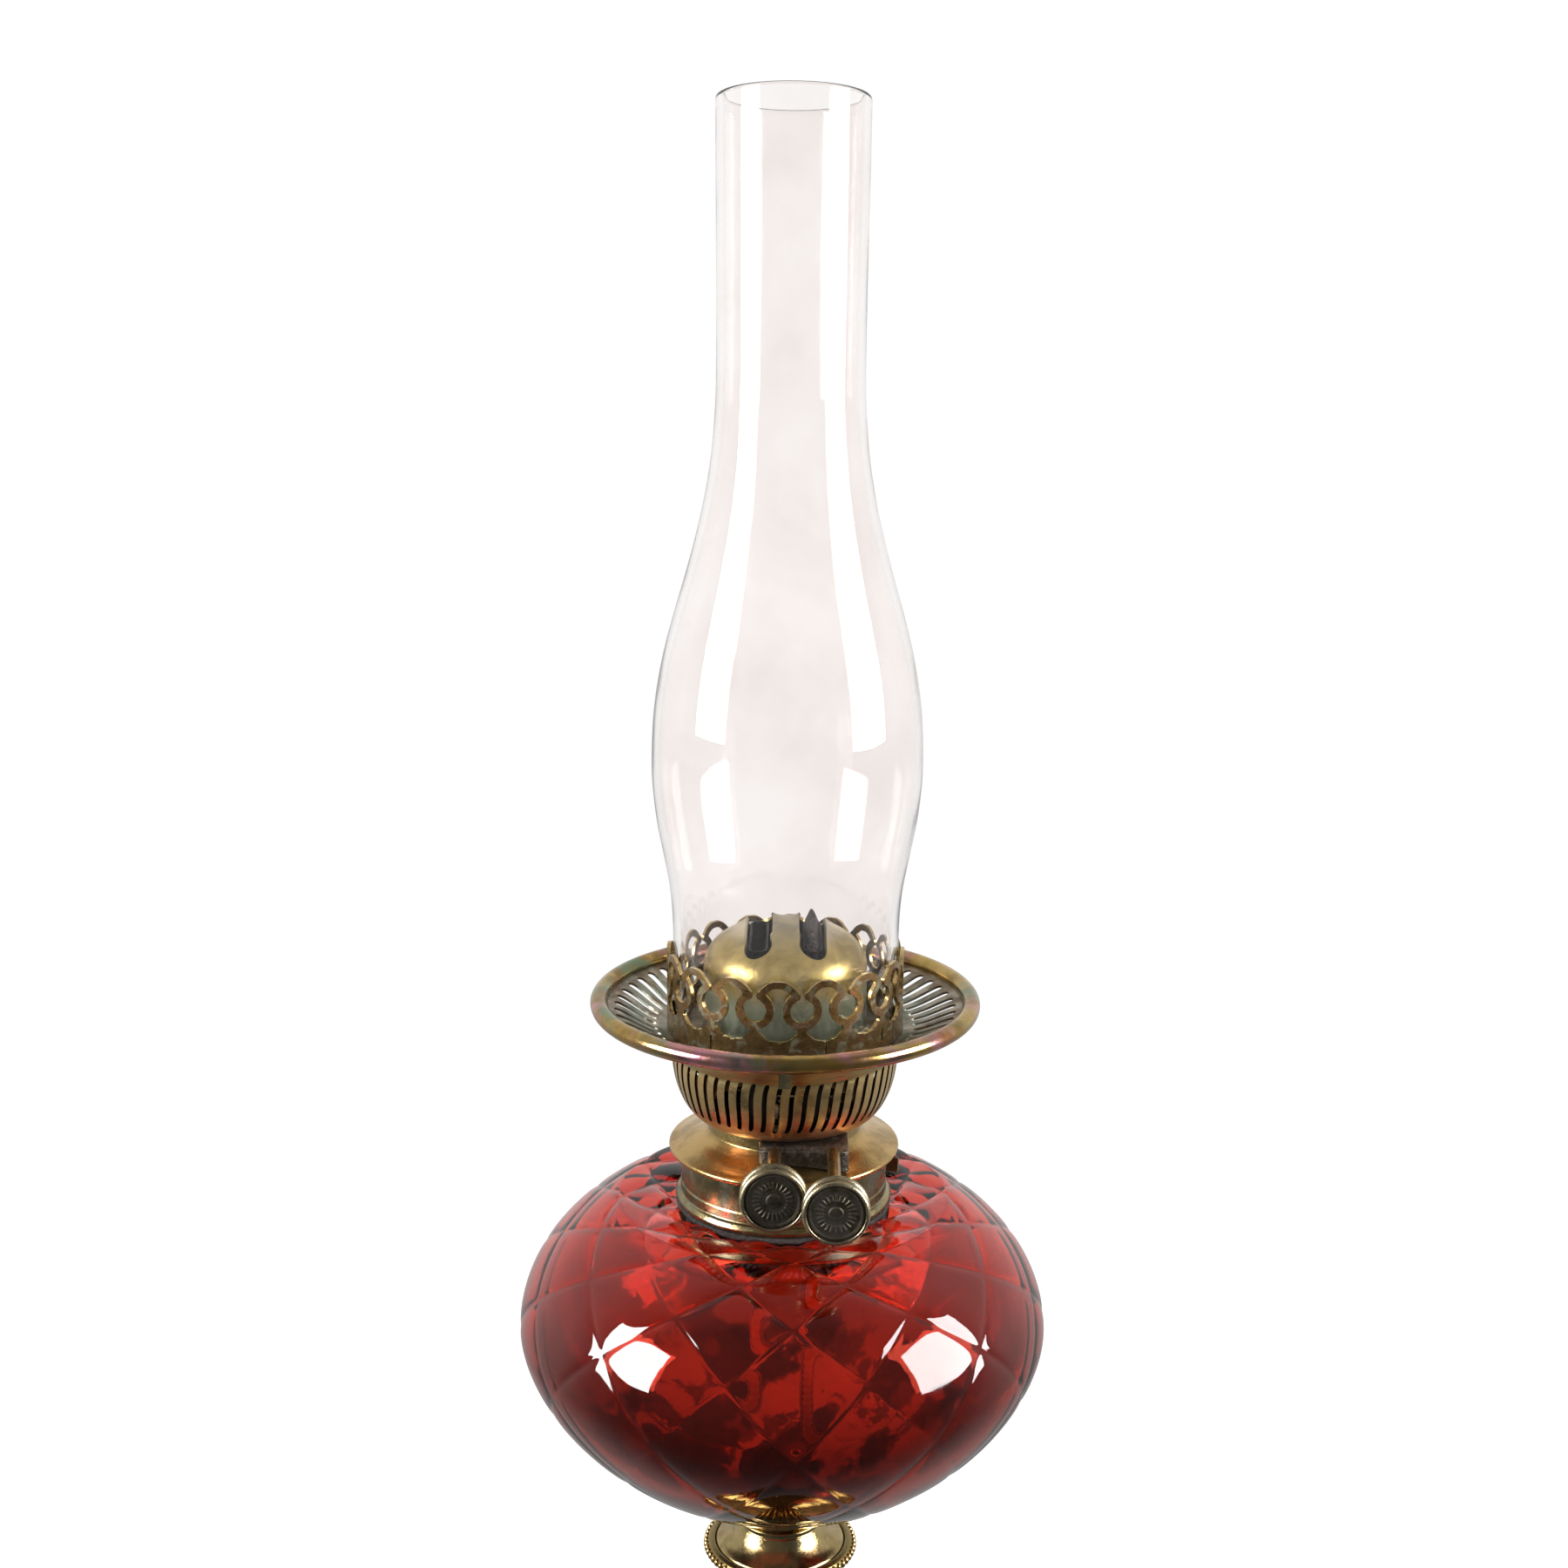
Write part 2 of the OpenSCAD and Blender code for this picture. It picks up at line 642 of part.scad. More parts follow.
module wick(x, top_z) {
    color("ivory") translate([x, 0, wick_foot_z]) linear_extrude(top_z - wick_foot_z)
        slot_outline(wick_t, wick_w);
}

module wick_left() {
    wick(-wick_x, wick_left_top_z);
}

module wick_right() {
    wick(wick_x, wick_right_top_z);
}

// ---- gallery ----

tray_slope = (shade_ring_z - floor_z - 0.6) / (tray_top_r - tray_foot_r);

module gallery_tray() {
    color("goldenrod") difference() {
        union() {
            turned([
                [dome_r - 1.6, tray_z], [tray_foot_r, tray_z],
                [tray_top_r, shade_ring_z - 0.6 - sheet], [tray_top_r, shade_ring_z - 0.6],
                [tray_foot_r - 0.2, floor_z], [dome_r - 1.6, floor_z]]);
            wire_ring(shade_bead_mid_r, shade_bead_r, shade_ring_z);
        }
        for (i = [0 : slot_count - 1]) rotate(i * 360 / slot_count)
            translate([tray_foot_r + 1.6, -tray_slot_w / 2, tray_z - cut])
                cube([tray_top_r - tray_foot_r - 3.4, tray_slot_w, tray_rise + 3 * cut]);
    }
}

module gallery_skirt() {
    r = basket_bowl_r - sheet - slide_gap;
    color("goldenrod") turned([
        [r - sheet, tray_z - 4.6], [r, tray_z - 4.6], [r, tray_z - seat_gap], [r - sheet, tray_z - seat_gap]]);
}

module gallery_tab() {
    color("gold") translate([-tab_w / 2, -basket_r - slide_gap - 0.8, tray_z - seat_gap - tab_h])
        cube([tab_w, 0.8, tab_h]);
}

// One keyhole unit is a ring with a funnel opening above it, and a batwing opening on each side
module coronet() {
    pitch = 360 / coronet_units;
    ring_z = floor_z + coronet_h * 0.65;
    r0 = coronet_r - coronet_wall - cut;
    module radial(turn, z, r) {
        rotate(turn - 90) translate([r0, 0, z]) rotate([0, 90, 0]) cylinder(r = r, h = coronet_wall + 2 * cut);
    }
    color("goldenrod") difference() {
        translate([0, 0, floor_z + seat_gap]) difference() {
            cylinder(r = coronet_r, h = coronet_h);
            translate([0, 0, -cut]) cylinder(r = coronet_r - coronet_wall, h = coronet_h + 2 * cut);
        }
        for (i = [0 : coronet_units - 1]) {
            radial(coronet_turn + i * pitch, ring_z, coronet_hole_r);
            rotate(coronet_turn + i * pitch - 90) translate([r0, -1.1, ring_z])
                cube([coronet_wall + 2 * cut, 2.2, coronet_h]);
            rotate(coronet_turn + i * pitch - 90) translate([r0, 0, ring_z + 6.4]) rotate([0, 90, 0])
                cylinder(r = 3.4, h = coronet_wall + 2 * cut, $fn = 4);
            radial(coronet_turn + (i + 0.5) * pitch, ring_z - 5.2, 2.6);
            radial(coronet_turn + (i + 0.5) * pitch, ring_z + 2.6, 1.8);
        }
    }
}

module flame_dome() {
    cap_z = floor_z + dome_skirt_h;
    line = concat(
        [[dome_r, floor_z + seat_gap], [dome_r, cap_z]],
        [for (a = [12 : 12 : 84]) [dome_r * cos(a), cap_z + dome_cap_h * sin(a)]]);
    outer = concat(line, [[0, cap_z + dome_cap_h]]);
    inner = concat([[0, cap_z + dome_cap_h - dome_wall]],
        reversed([for (a = [0 : 12 : 84]) [(dome_r - dome_wall) * cos(a), cap_z + (dome_cap_h - dome_wall) * sin(a)]]),
        [[dome_r - dome_wall, floor_z + seat_gap]]);
    color("goldenrod") difference() {
        turned(concat(outer, inner));
        for (s = [-1, 1]) translate([s * wick_x, 0, cap_z + 2]) linear_extrude(dome_cap_h + cut)
            slot_outline(flame_slot_w, flame_slot_l);
    }
}

// ---- chimney ----

module chimney_glass() {
    z0 = floor_z + seat_gap;
    straight_z = z0 + 38;                     // where the foot ends and the bulge begins
    bulge_z = z0 + 77.5;
    funnel_z = z0 + 172;
    top_z = z0 + chimney_h;
    line = concat(
        [[chimney_foot_r, z0], [chimney_foot_r - 0.4, z0 + 22], [chimney_foot_r - 0.2, straight_z - 6]],
        blend(chimney_foot_r + 0.2, straight_z, chimney_bulge_r, bulge_z, 7),
        [for (i = [1 : 12]) let (u = i / 12, a = 180 * pow(u, 0.92))
            [chimney_top_r + (chimney_bulge_r - chimney_top_r) * (1 + cos(a)) / 2,
             bulge_z + (funnel_z - bulge_z) * u]],
        [[chimney_top_r + 0.3, top_z - 30], [chimney_top_r + 0.3, top_z - chimney_wall / 2]]);
    color("lightblue", 0.3) union() {
        spun(line, chimney_wall);
        wire_ring(chimney_top_r + 0.3 - chimney_wall / 2, chimney_wall / 2, top_z - chimney_wall / 2);
    }
}

foot_shell();
foot_beading();
foot_weight();
column_base_ring();
reeded_column();
capital();
capital_beading();
tie_rod();
tie_nut();
tie_washer();
font_cup();
peg_cement();
font_glass();
collar_cement();
font_collar();
burner_flange();
bayonet_catch();
tube_plate();
air_basket();
wick_tube_left();
wick_tube_right();
winder_box();
spindle_bearing();
winder_spindle_left();
winder_knob_left();
knob_plate_left();
wick_wheels_left();
winder_spindle_right();
winder_knob_right();
knob_plate_right();
wick_wheels_right();
wick_left();
wick_right();
gallery_tray();
gallery_skirt();
gallery_tab();
coronet();
flame_dome();
chimney_glass();
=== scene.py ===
"""Table oil lamp: a brass stand, a ruby glass font, a twin-wick burner, its gallery and a glass chimney.

Each sub-assembly is a class with its sizes in millimetres as fields. Its build method works the
surfaces out with numpy and its dress method gives the carried-over parts their finishes. Outlines
are lists of (radius, height) points, heights are measured from the anchor named in each class,
+Z is up and -Y is the front.
"""

from __future__ import annotations

import json
import logging
import math
from dataclasses import dataclass, field
from enum import Enum
from typing import Callable, Iterable, Sequence

import bmesh
import bpy
import numpy as np
from mathutils import Matrix, Vector

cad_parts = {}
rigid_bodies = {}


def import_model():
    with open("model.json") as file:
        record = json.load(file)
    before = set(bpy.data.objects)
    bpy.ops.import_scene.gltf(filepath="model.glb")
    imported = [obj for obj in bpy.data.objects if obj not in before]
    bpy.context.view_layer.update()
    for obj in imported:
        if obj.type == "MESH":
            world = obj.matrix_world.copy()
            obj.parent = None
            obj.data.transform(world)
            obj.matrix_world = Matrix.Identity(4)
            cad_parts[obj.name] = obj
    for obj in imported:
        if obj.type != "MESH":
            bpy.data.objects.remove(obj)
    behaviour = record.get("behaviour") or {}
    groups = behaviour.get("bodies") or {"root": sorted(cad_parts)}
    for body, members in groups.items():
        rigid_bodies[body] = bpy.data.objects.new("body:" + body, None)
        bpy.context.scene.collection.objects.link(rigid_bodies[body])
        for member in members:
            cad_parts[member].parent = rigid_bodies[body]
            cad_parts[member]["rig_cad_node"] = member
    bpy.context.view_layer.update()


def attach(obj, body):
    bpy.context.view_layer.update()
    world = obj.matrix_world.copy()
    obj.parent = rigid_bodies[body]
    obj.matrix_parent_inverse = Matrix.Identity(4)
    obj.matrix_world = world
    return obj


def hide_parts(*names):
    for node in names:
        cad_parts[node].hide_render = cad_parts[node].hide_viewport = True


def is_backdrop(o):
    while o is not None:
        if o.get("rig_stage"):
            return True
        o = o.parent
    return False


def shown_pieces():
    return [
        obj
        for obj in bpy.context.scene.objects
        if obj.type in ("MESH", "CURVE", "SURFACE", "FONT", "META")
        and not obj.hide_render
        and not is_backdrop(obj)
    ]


LOG = logging.getLogger("lamp")
MM = 0.001
TAU = 2.0 * np.pi
ON_AXIS = 1e-6
MERGE = 2e-6
Array = np.ndarray
Line = Sequence[tuple[float, float]]
Tone = tuple[int, int, int]


# ---------------------------------------------------------------- shapes


@dataclass
class Shell:
    """Points in millimetres and the faces between them, all faces pointing outwards."""

    points: Array
    faces: list[Array] = field(default_factory=list)

    def join(self, *others: "Shell") -> "Shell":
        """Return this shell and the others as one, with the faces renumbered.

        Args:
            others: the shells to add.

        Returns:
            The joined shell.
        """
        points, faces = [self.points], list(self.faces)
        start = len(self.points)
        for other in others:
            points.append(other.points)
            faces += [block + start for block in other.faces]
            start += len(other.points)
        return Shell(np.vstack(points), faces)

    def along_y(self, x: float, z: float) -> "Shell":
        """Return a shape turned about +Z laid down instead with its axis along -Y through (x, z)."""
        p = self.points
        return Shell(np.column_stack([p[:, 0] + x, -p[:, 2], p[:, 1] + z]), self.faces)

    def raised(self, z: float) -> "Shell":
        """Return the shell moved up by z."""
        return Shell(self.points + [0.0, 0.0, z], self.faces)


def eased(x: Array | float, low: float, high: float) -> Array:
    """Return 0 below low, 1 above high, and 3u^2 - 2u^3 of the share u of the way between."""
    u = np.clip((np.asarray(x, float) - low) / (high - low), 0.0, 1.0)
    return u * u * (3.0 - 2.0 * u)


def flowing(points: Line, per: int = 6) -> Array:
    """Draw a smooth line through points, as a Catmull-Rom curve.

    Between points b and c, with neighbours a and d, the place at share t is
    (2b + (c - a)t + (2a - 5b + 4c - d)t^2 + (3b - a - 3c + d)t^3) / 2.

    Args:
        points: the places to pass through.
        per: how many steps are taken between two of them.

    Returns:
        The line's points, ends included.
    """
    p = np.asarray(points, float)
    a, b, c, d = (np.vstack([2 * p[0] - p[1], p, 2 * p[-1] - p[-2]])[i : len(p) - 1 + i] for i in range(4))
    t = (np.arange(per) / per)[:, None, None]
    line = (2 * b + (c - a) * t + (2 * a - 5 * b + 4 * c - d) * t**2 + (3 * b - a - 3 * c + d) * t**3) / 2
    return np.vstack([line.transpose(1, 0, 2).reshape(-1, p.shape[1]), p[-1:]])


def chain(*lines: Array | Line) -> Array:
    """Return lines laid end to end, with repeated points dropped."""
    p = np.vstack([np.asarray(line, float) for line in lines])
    far = np.hypot(*np.diff(p, axis=0).T) > 1e-4
    return p[np.concatenate([[True], far])]


def softened(line: Array | Line, radius: float, closed: bool = True, turn: float = 24.0) -> Array:
    """Round the corners of a line.

    A corner at b that turns by more than a set angle is swapped for four points of the parabola
    (1-u)^2 p + 2u(1-u) b + u^2 q, where p and q lie on its two sides, radius away or 45% along.

    Args:
        line: the points.
        radius: how far from the corner the rounding starts.
        closed: whether the line's end joins its start.
        turn: the least angle in degrees that counts as a corner.

    Returns:
        The line with its corners rounded.
    """
    b = np.asarray(line, float)
    a, c = np.roll(b, 1, 0), np.roll(b, -1, 0)
    back, ahead = a - b, c - b
    l0, l1 = np.hypot(*back.T), np.hypot(*ahead.T)
    cosine = -(back * ahead).sum(1) / np.maximum(l0 * l1, 1e-9)
    corner = (cosine < math.cos(math.radians(turn))) & (b[:, 0] > ON_AXIS)
    if not closed:
        corner[[0, -1]] = False
    p = b + back * (np.minimum(radius, 0.45 * l0) / np.maximum(l0, 1e-9))[:, None]
    q = b + ahead * (np.minimum(radius, 0.45 * l1) / np.maximum(l1, 1e-9))[:, None]
    u = np.linspace(0, 1, 4)[None, :, None]
    arc = (1 - u) ** 2 * p[:, None] + 2 * u * (1 - u) * b[:, None] + u**2 * q[:, None]
    keep = np.repeat(corner[:, None], 4, 1)
    keep[:, 0] = True
    arc[~corner] = b[~corner, None]
    return arc[keep]


def walled(line: Array | Line, wall: float) -> Array:
    """Close an open line into the outline of a sheet.

    The second side lies wall away on the line's left, on each point's bisector.

    Args:
        line: the outer side, which runs upwards on the outside of the piece.
        wall: the sheet's thickness.

    Returns:
        The closed outline, anticlockwise.
    """
    p = np.asarray(line, float)
    step = np.diff(p, axis=0)
    side = np.column_stack([-step[:, 1], step[:, 0]]) / np.hypot(*step.T)[:, None]
    n0, n1 = np.vstack([side[:1], side]), np.vstack([side, side[-1:]])
    inner = p + wall * (n0 + n1) / np.maximum(1 + (n0 * n1).sum(1), 0.3)[:, None]
    inner[:, 0] = np.maximum(inner[:, 0], 0.0)
    return np.vstack([p, inner[::-1]])


def grid_faces(rows: int, cols: int, rows_close: bool = False, cols_close: bool = True) -> Array:
    """Return the quads between the points of a grid that are numbered row by row.

    Args:
        rows: how many rows of points there are.
        cols: how many points a row has.
        rows_close: whether the last row joins the first.
        cols_close: whether a row's end joins its start.

    Returns:
        One quad a line: a point, the next in its row, the one past that in the next row, and the one
        past the first.
    """
    i, j = (g.ravel() for g in np.meshgrid(np.arange(rows if rows_close else rows - 1),
                                           np.arange(cols if cols_close else cols - 1), indexing="ij"))
    i1, j1 = (i + 1) % rows, (j + 1) % cols
    return np.column_stack([i * cols + j, i * cols + j1, i1 * cols + j1, i1 * cols + j])


def turned(outline: Array, around: int = 144,
           swell: Callable[[Array, Array, Array], Array] | None = None) -> Shell:
    """Turn a closed anticlockwise outline about the Z axis.

    A point is ((r + g) cos a, (r + g) sin a, z), where g is the swell at angle a.

    Args:
        outline: the (radius, height) points.
        around: how many steps go round.
        swell: gives what is added to the radius, from angle, radius and height.

    Returns:
        The closed shell.
    """
    a = np.arange(around) * TAU / around
    r, z = outline[:, :1], np.repeat(outline[:, 1:], around, 1)
    r = r + (0 if swell is None else swell(a[None, :], r, z)) + 0 * z
    points = np.stack([r * np.cos(a), r * np.sin(a), z], -1).reshape(-1, 3)
    on_axis = outline[0, 0] < ON_AXIS and outline[-1, 0] < ON_AXIS
    return Shell(points, [grid_faces(len(outline), around, rows_close=not on_axis)])


def wire_ring(r: float, section: float, z: float, around: int = 144, steps: int = 20) -> Shell:
    """Return a ring of round section: radius r + section cos b, height z + section sin b."""
    b = np.arange(steps) * TAU / steps
    return turned(np.column_stack([r + section * np.cos(b), z + section * np.sin(b)]), around)


def bead_row(r: float, z: float, count: int, size: float, squash: float = 1.0) -> Shell:
    """Set a row of balls round a ring.

    A ball's point is its middle plus size (sin v cos u, sin v sin u, squash cos v).

    Args:
        r: the ring's radius.
        z: the balls' height.
        count: how many there are.
        size: a ball's radius.
        squash: its height over its width.

    Returns:
        The balls as one shell of separate closed parts.
    """
    v = np.linspace(-np.pi / 2, np.pi / 2, 9)
    ball = turned(np.column_stack([size * np.cos(v).clip(0), size * squash * np.sin(v)]), 12)
    ball.points[:, 0] += r
    a = (np.arange(count) * TAU / count)[:, None]
    x, y, h = ball.points.T
    points = np.stack([x * np.cos(a) - y * np.sin(a), x * np.sin(a) + y * np.cos(a), h + z + 0 * a], -1)
    starts = np.arange(count)[:, None, None] * len(ball.points)
    return Shell(points.reshape(-1, 3), [(ball.faces[0][None] + starts).reshape(-1, 4)])


def arc_block(r: tuple[float, float], z: tuple[float, float], turn: tuple[float, float]) -> Shell:
    """Return a closed block between two radii, two heights and two angles in degrees, bent round the axis."""
    steps = 9
    a = np.radians(np.linspace(*turn, steps))
    section = np.array([[r[0], z[0]], [r[1], z[0]], [r[1], z[1]], [r[0], z[1]]])
    points = np.stack([section[:, :1] * np.cos(a), section[:, :1] * np.sin(a), section[:, 1:] + 0 * a], -1)
    first = np.arange(4) * steps
    ends = np.array([first, first[::-1] + steps - 1])
    return Shell(points.reshape(-1, 3), [grid_faces(4, steps, rows_close=True, cols_close=False), ends])


def pierced(keep: Array) -> tuple[Array, list[Array]]:
    """Cut a grid that closes on itself sideways along the zero line of a field.

    Every grid square keeps its corners where the field is positive, plus the places on its sides
    where the straight line between two corner values passes zero.

    Args:
        keep: the field, rows by columns, positive where there is metal.

    Returns:
        The (column, row) place of every kept point, and the faces as blocks of equal size.
    """
    rows, cols = keep.shape
    row, col = (g.astype(float) for g in np.meshgrid(np.arange(rows), np.arange(cols), indexing="ij"))
    right = np.roll(keep, -1, 1)
    share = lambda f, g: np.clip(f / np.where(np.abs(f - g) < 1e-12, 1.0, f - g), 0.04, 0.96)
    across = np.stack([col + share(keep, right), row], -1)
    upward = np.stack([col[:-1], row[:-1] + share(keep[:-1], keep[1:])], -1)
    places = np.vstack([part.reshape(-1, 2) for part in (np.stack([col, row], -1), across, upward)])
    size = rows * cols
    corner = grid_faces(rows, cols).T
    edge = size + np.stack([corner[0], size + corner[1], corner[3], size + corner[0]])
    solid = keep.ravel()[corner] > 0
    case = (solid * np.array([[1], [2], [4], [8]])).sum(0)
    faces = []
    for number in range(1, 16):
        here = np.flatnonzero(case == number)
        if here.size:
            ring = []
            for k in range(4):
                inside, after = number >> k & 1, number >> (k + 1) % 4 & 1
                ring += [corner[k, here]] * inside + [edge[k, here]] * (inside != after)
            faces.append(np.column_stack(ring))
    used, places_used = np.unique(np.concatenate([f.ravel() for f in faces]), return_inverse=True)
    cuts = np.cumsum([f.size for f in faces])[:-1]
    faces = [part.reshape(-1, f.shape[1]) for part, f in zip(np.split(places_used, cuts), faces)]
    return places[used], faces


def pierced_round(line: Array, around: int, rows: int, keep: Callable[[Array, Array, Array], Array]) -> Shell:
    """Carry a line round the axis as a single skin and cut openings in it.

    Args:
        line: the skin's (radius, height) points, running upwards on its outer side.
        around: how many grid columns go round.
        rows: how many grid rows run along the line, evenly by length.
        keep: from angle, radius and height, a field that is positive where metal stays.

    Returns:
        The open skin, facing outwards.
    """
    length = np.concatenate([[0], np.cumsum(np.hypot(*np.diff(line, axis=0).T))])
    at = np.linspace(0, length[-1], rows)
    r, z = np.interp(at, length, line[:, 0]), np.interp(at, length, line[:, 1])
    a = np.arange(around) * TAU / around
    places, faces = pierced(keep(a[None, :] + 0 * r[:, None], r[:, None] + 0 * a, z[:, None] + 0 * a))
    angle, s = places[:, 0] * TAU / around, places[:, 1]
    radius, height = np.interp(s, np.arange(rows), r), np.interp(s, np.arange(rows), z)
    return Shell(np.column_stack([radius * np.cos(angle), radius * np.sin(angle), height]), faces)


def wrapped(angle: Array, pitch: float) -> Array:
    """Return an angle's distance from the nearest whole multiple of pitch, with its sign."""
    return (angle + pitch / 2) % pitch - pitch / 2


def stand_up(name: str, data: bpy.types.ID) -> bpy.types.Object:
    """Return a new object made of the data, linked to the scene."""
    made = bpy.data.objects.new(name, data)
    bpy.context.scene.collection.objects.link(made)
    return made


def place(name: str, shell: Shell, finish: "Finish", body: str, nodes: Iterable[str] = (),
          sheet: float = 0.0, edge: float = 0.0, crease: float = 38.0,
          rim: "Finish | None" = None) -> bpy.types.Object:
    """Make a shell into an object, finish it and tie it to its body.

    Args:
        name: the piece's name.
        shell: its surface.
        finish: what it is made of.
        body: the body that it moves with.
        nodes: the parts of the frame that it stands for.
        sheet: a wall grown inwards from a single skin, in millimetres.
        edge: the width of the bevel on the wall's edges, in millimetres.
        crease: the angle in degrees past which an edge stays sharp.
        rim: the finish of the wall's cut edges, if it differs; on the basket it is painted shade and on the
            coronet a painted highlight.

    Returns:
        The new object.
    """
    mesh = bpy.data.meshes.new(name)
    blocks = [block for block in shell.faces if len(block)]
    sizes = np.concatenate([np.full(len(b), b.shape[1]) for b in blocks])
    corners = np.concatenate([b.ravel() for b in blocks]).astype(np.int32)
    mesh.vertices.add(len(shell.points))
    mesh.vertices.foreach_set("co", (shell.points * MM).astype(np.float32).ravel())
    mesh.loops.add(len(corners))
    mesh.loops.foreach_set("vertex_index", corners)
    mesh.polygons.add(len(sizes))
    mesh.polygons.foreach_set("loop_start", np.concatenate([[0], np.cumsum(sizes)[:-1]]).astype(np.int32))
    mesh.update(calc_edges=True)
    mesh.validate()
    work = bmesh.new()
    work.from_mesh(mesh)
    bmesh.ops.remove_doubles(work, verts=work.verts, dist=MERGE)
    bmesh.ops.dissolve_degenerate(work, edges=work.edges, dist=MERGE / 2)
    work.to_mesh(mesh)
    work.free()
    mesh.shade_smooth()
    mesh.set_sharp_from_angle(angle=math.radians(crease))
    mesh.materials.append(finish.material())
    piece = stand_up(name, mesh)
    if sheet:
        wall = piece.modifiers.new("wall", "SOLIDIFY")
        wall.thickness, wall.offset, wall.use_even_offset = sheet * MM, -1.0, False
        if rim:
            mesh.materials.append(rim.material())
            wall.material_offset_rim = 1
    if edge:
        bevel = piece.modifiers.new("edge", "BEVEL")
        bevel.width, bevel.segments, bevel.limit_method = edge * MM, 1, "ANGLE"
        bevel.angle_limit, bevel.harden_normals = math.radians(50), True
    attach(piece, body)
    if nodes:
        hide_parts(*nodes)
    LOG.info("%-24s %7d faces", name, len(mesh.polygons))
    return piece


# ---------------------------------------------------------------- finishes


def linear(tone: Tone) -> tuple[float, float, float, float]:
    """Return a display tone of 0 to 255 a channel as the linear colour that shaders take."""
    c = np.asarray(tone, float) / 255
    c = np.where(c <= 0.04045, c / 12.92, ((c + 0.055) / 1.055) ** 2.4)
    return (float(c[0]), float(c[1]), float(c[2]), 1.0)


def fill_ramp(node: bpy.types.Node, stops: Sequence[tuple[float, tuple[float, ...]]]) -> None:
    """Give a colour ramp exactly these stops, from left to right."""
    row = node.color_ramp.elements
    while len(row) > 1:
        row.remove(row[-1])
    row[0].position, row[0].color = stops[0]
    for at, colour in stops[1:]:
        row.new(at).color = colour


class Tree:
    """The node tree of a material or a world."""

    def __init__(self, owner: bpy.types.Material | bpy.types.World) -> None:
        """Empty the owner's tree."""
        owner.use_nodes = True
        self.tree = owner.node_tree
        self.tree.nodes.clear()

    def node(self, kind: str, inputs: dict[str | int, object], **settings: object) -> bpy.types.Node:
        """Add a node.

        Args:
            kind: the node's type, without its ShaderNode prefix.
            inputs: a value, or another node's output, for each named or numbered input.
            settings: the node's own properties.

        Returns:
            The node.
        """
        made = self.tree.nodes.new("ShaderNode" + kind)
        for key, value in settings.items():
            setattr(made, key, value)
        for key, value in inputs.items():
            if isinstance(value, bpy.types.NodeSocket):
                self.tree.links.new(value, made.inputs[key])
            else:
                made.inputs[key].default_value = value
        return made


class Graph(Tree):
    """The node tree of one material, with short calls for the nodes used here."""

    def __init__(self, name: str) -> None:
        """Start a material with a surface shader."""
        self.made = bpy.data.materials.new(name)
        super().__init__(self.made)
        self.shader = self.node("BsdfPrincipled", {})
        self.node("OutputMaterial", {0: self.shader.outputs[0]})
        self.place = self.node("TexCoord", {}).outputs["Object"]

    def sum(self, kind: str, a: object, b: object = 0.0, c: object = 0.0) -> bpy.types.NodeSocket:
        """Return a piece of arithmetic on up to three numbers."""
        return self.node("Math", {0: a, 1: b, 2: c}, operation=kind).outputs[0]

    def noise(self, size: float, detail: float = 3.0, rough: float = 0.55, vector: object = None,
              warp: float = 0.0) -> bpy.types.NodeSocket:
        """Return cloudy noise whose blotches are size millimetres across."""
        return self.node("TexNoise", {"Vector": vector or self.place, "Scale": 1 / (size * MM),
                                      "Detail": detail, "Roughness": rough, "Distortion": warp}).outputs[0]

    def span(self, value: object, low: float, high: float,
             out: tuple[float, float] = (0.0, 1.0)) -> bpy.types.NodeSocket:
        """Return a value carried smoothly from low..high to out, and held beyond."""
        return self.node("MapRange", {0: value, 1: low, 2: high, 3: out[0], 4: out[1]},
                         interpolation_type="SMOOTHSTEP").outputs[0]

    def blend(self, share: object, a: object, b: object) -> bpy.types.NodeSocket:
        """Return colour a changed to colour b by share."""
        return self.node("Mix", {0: share, 6: a, 7: b}, data_type="RGBA").outputs[2]

    def ramp(self, value: object, stops: Sequence[tuple[float, Tone]]) -> bpy.types.NodeSocket:
        """Return the tone that a value picks from a row of stops."""
        made = self.node("ValToRGB", {0: value})
        fill_ramp(made, [(at, linear(tone)) for at, tone in stops])
        return made.outputs[0]

    def axes(self) -> tuple[bpy.types.NodeSocket, ...]:
        """Return the x, y and z of a place on the piece."""
        return tuple(self.node("SeparateXYZ", {0: self.place}).outputs)

    def reach(self, centre: tuple[float, float] | None = None) -> bpy.types.NodeSocket:
        """Return the distance from the lamp's axis, or from a winder's axis at (x, z) millimetres."""
        x, y, z = self.axes()
        if centre:
            x, y = self.sum("SUBTRACT", x, centre[0] * MM), self.sum("SUBTRACT", z, centre[1] * MM)
        return self.sum("SQRT", self.sum("MULTIPLY_ADD", x, x, self.sum("MULTIPLY", y, y)))

    def bump(self, height: object, depth: float, share: float = 1.0,
             normal: object = None) -> bpy.types.NodeSocket:
        """Return a normal raised by height, whose full swing is depth millimetres."""
        inputs = {"Height": height, "Distance": depth * MM, "Strength": share}
        if normal is not None:
            inputs["Normal"] = normal
        return self.node("Bump", inputs).outputs[0]

    def set(self, **inputs: object) -> bpy.types.Material:
        """Give the shader its inputs, with underscores for spaces, and return the material."""
        for key, value in inputs.items():
            socket = self.shader.inputs[key.replace("_", " ")]
            if isinstance(value, bpy.types.NodeSocket):
                self.tree.links.new(value, socket)
            else:
                socket.default_value = value
        return self.made


@dataclass(frozen=True)
class Finish:
    """What a piece is made of. The material is made once and shared."""

    name: str

    def material(self) -> bpy.types.Material:
        """Return the material, made on first use."""
        own = "finish_" + self.name
        return bpy.data.materials.get(own) or self.mix(Graph(own))

    def mix(self, g: Graph) -> bpy.types.Material:
        """Fill the graph. Each kind of finish has its own."""
        raise NotImplementedError


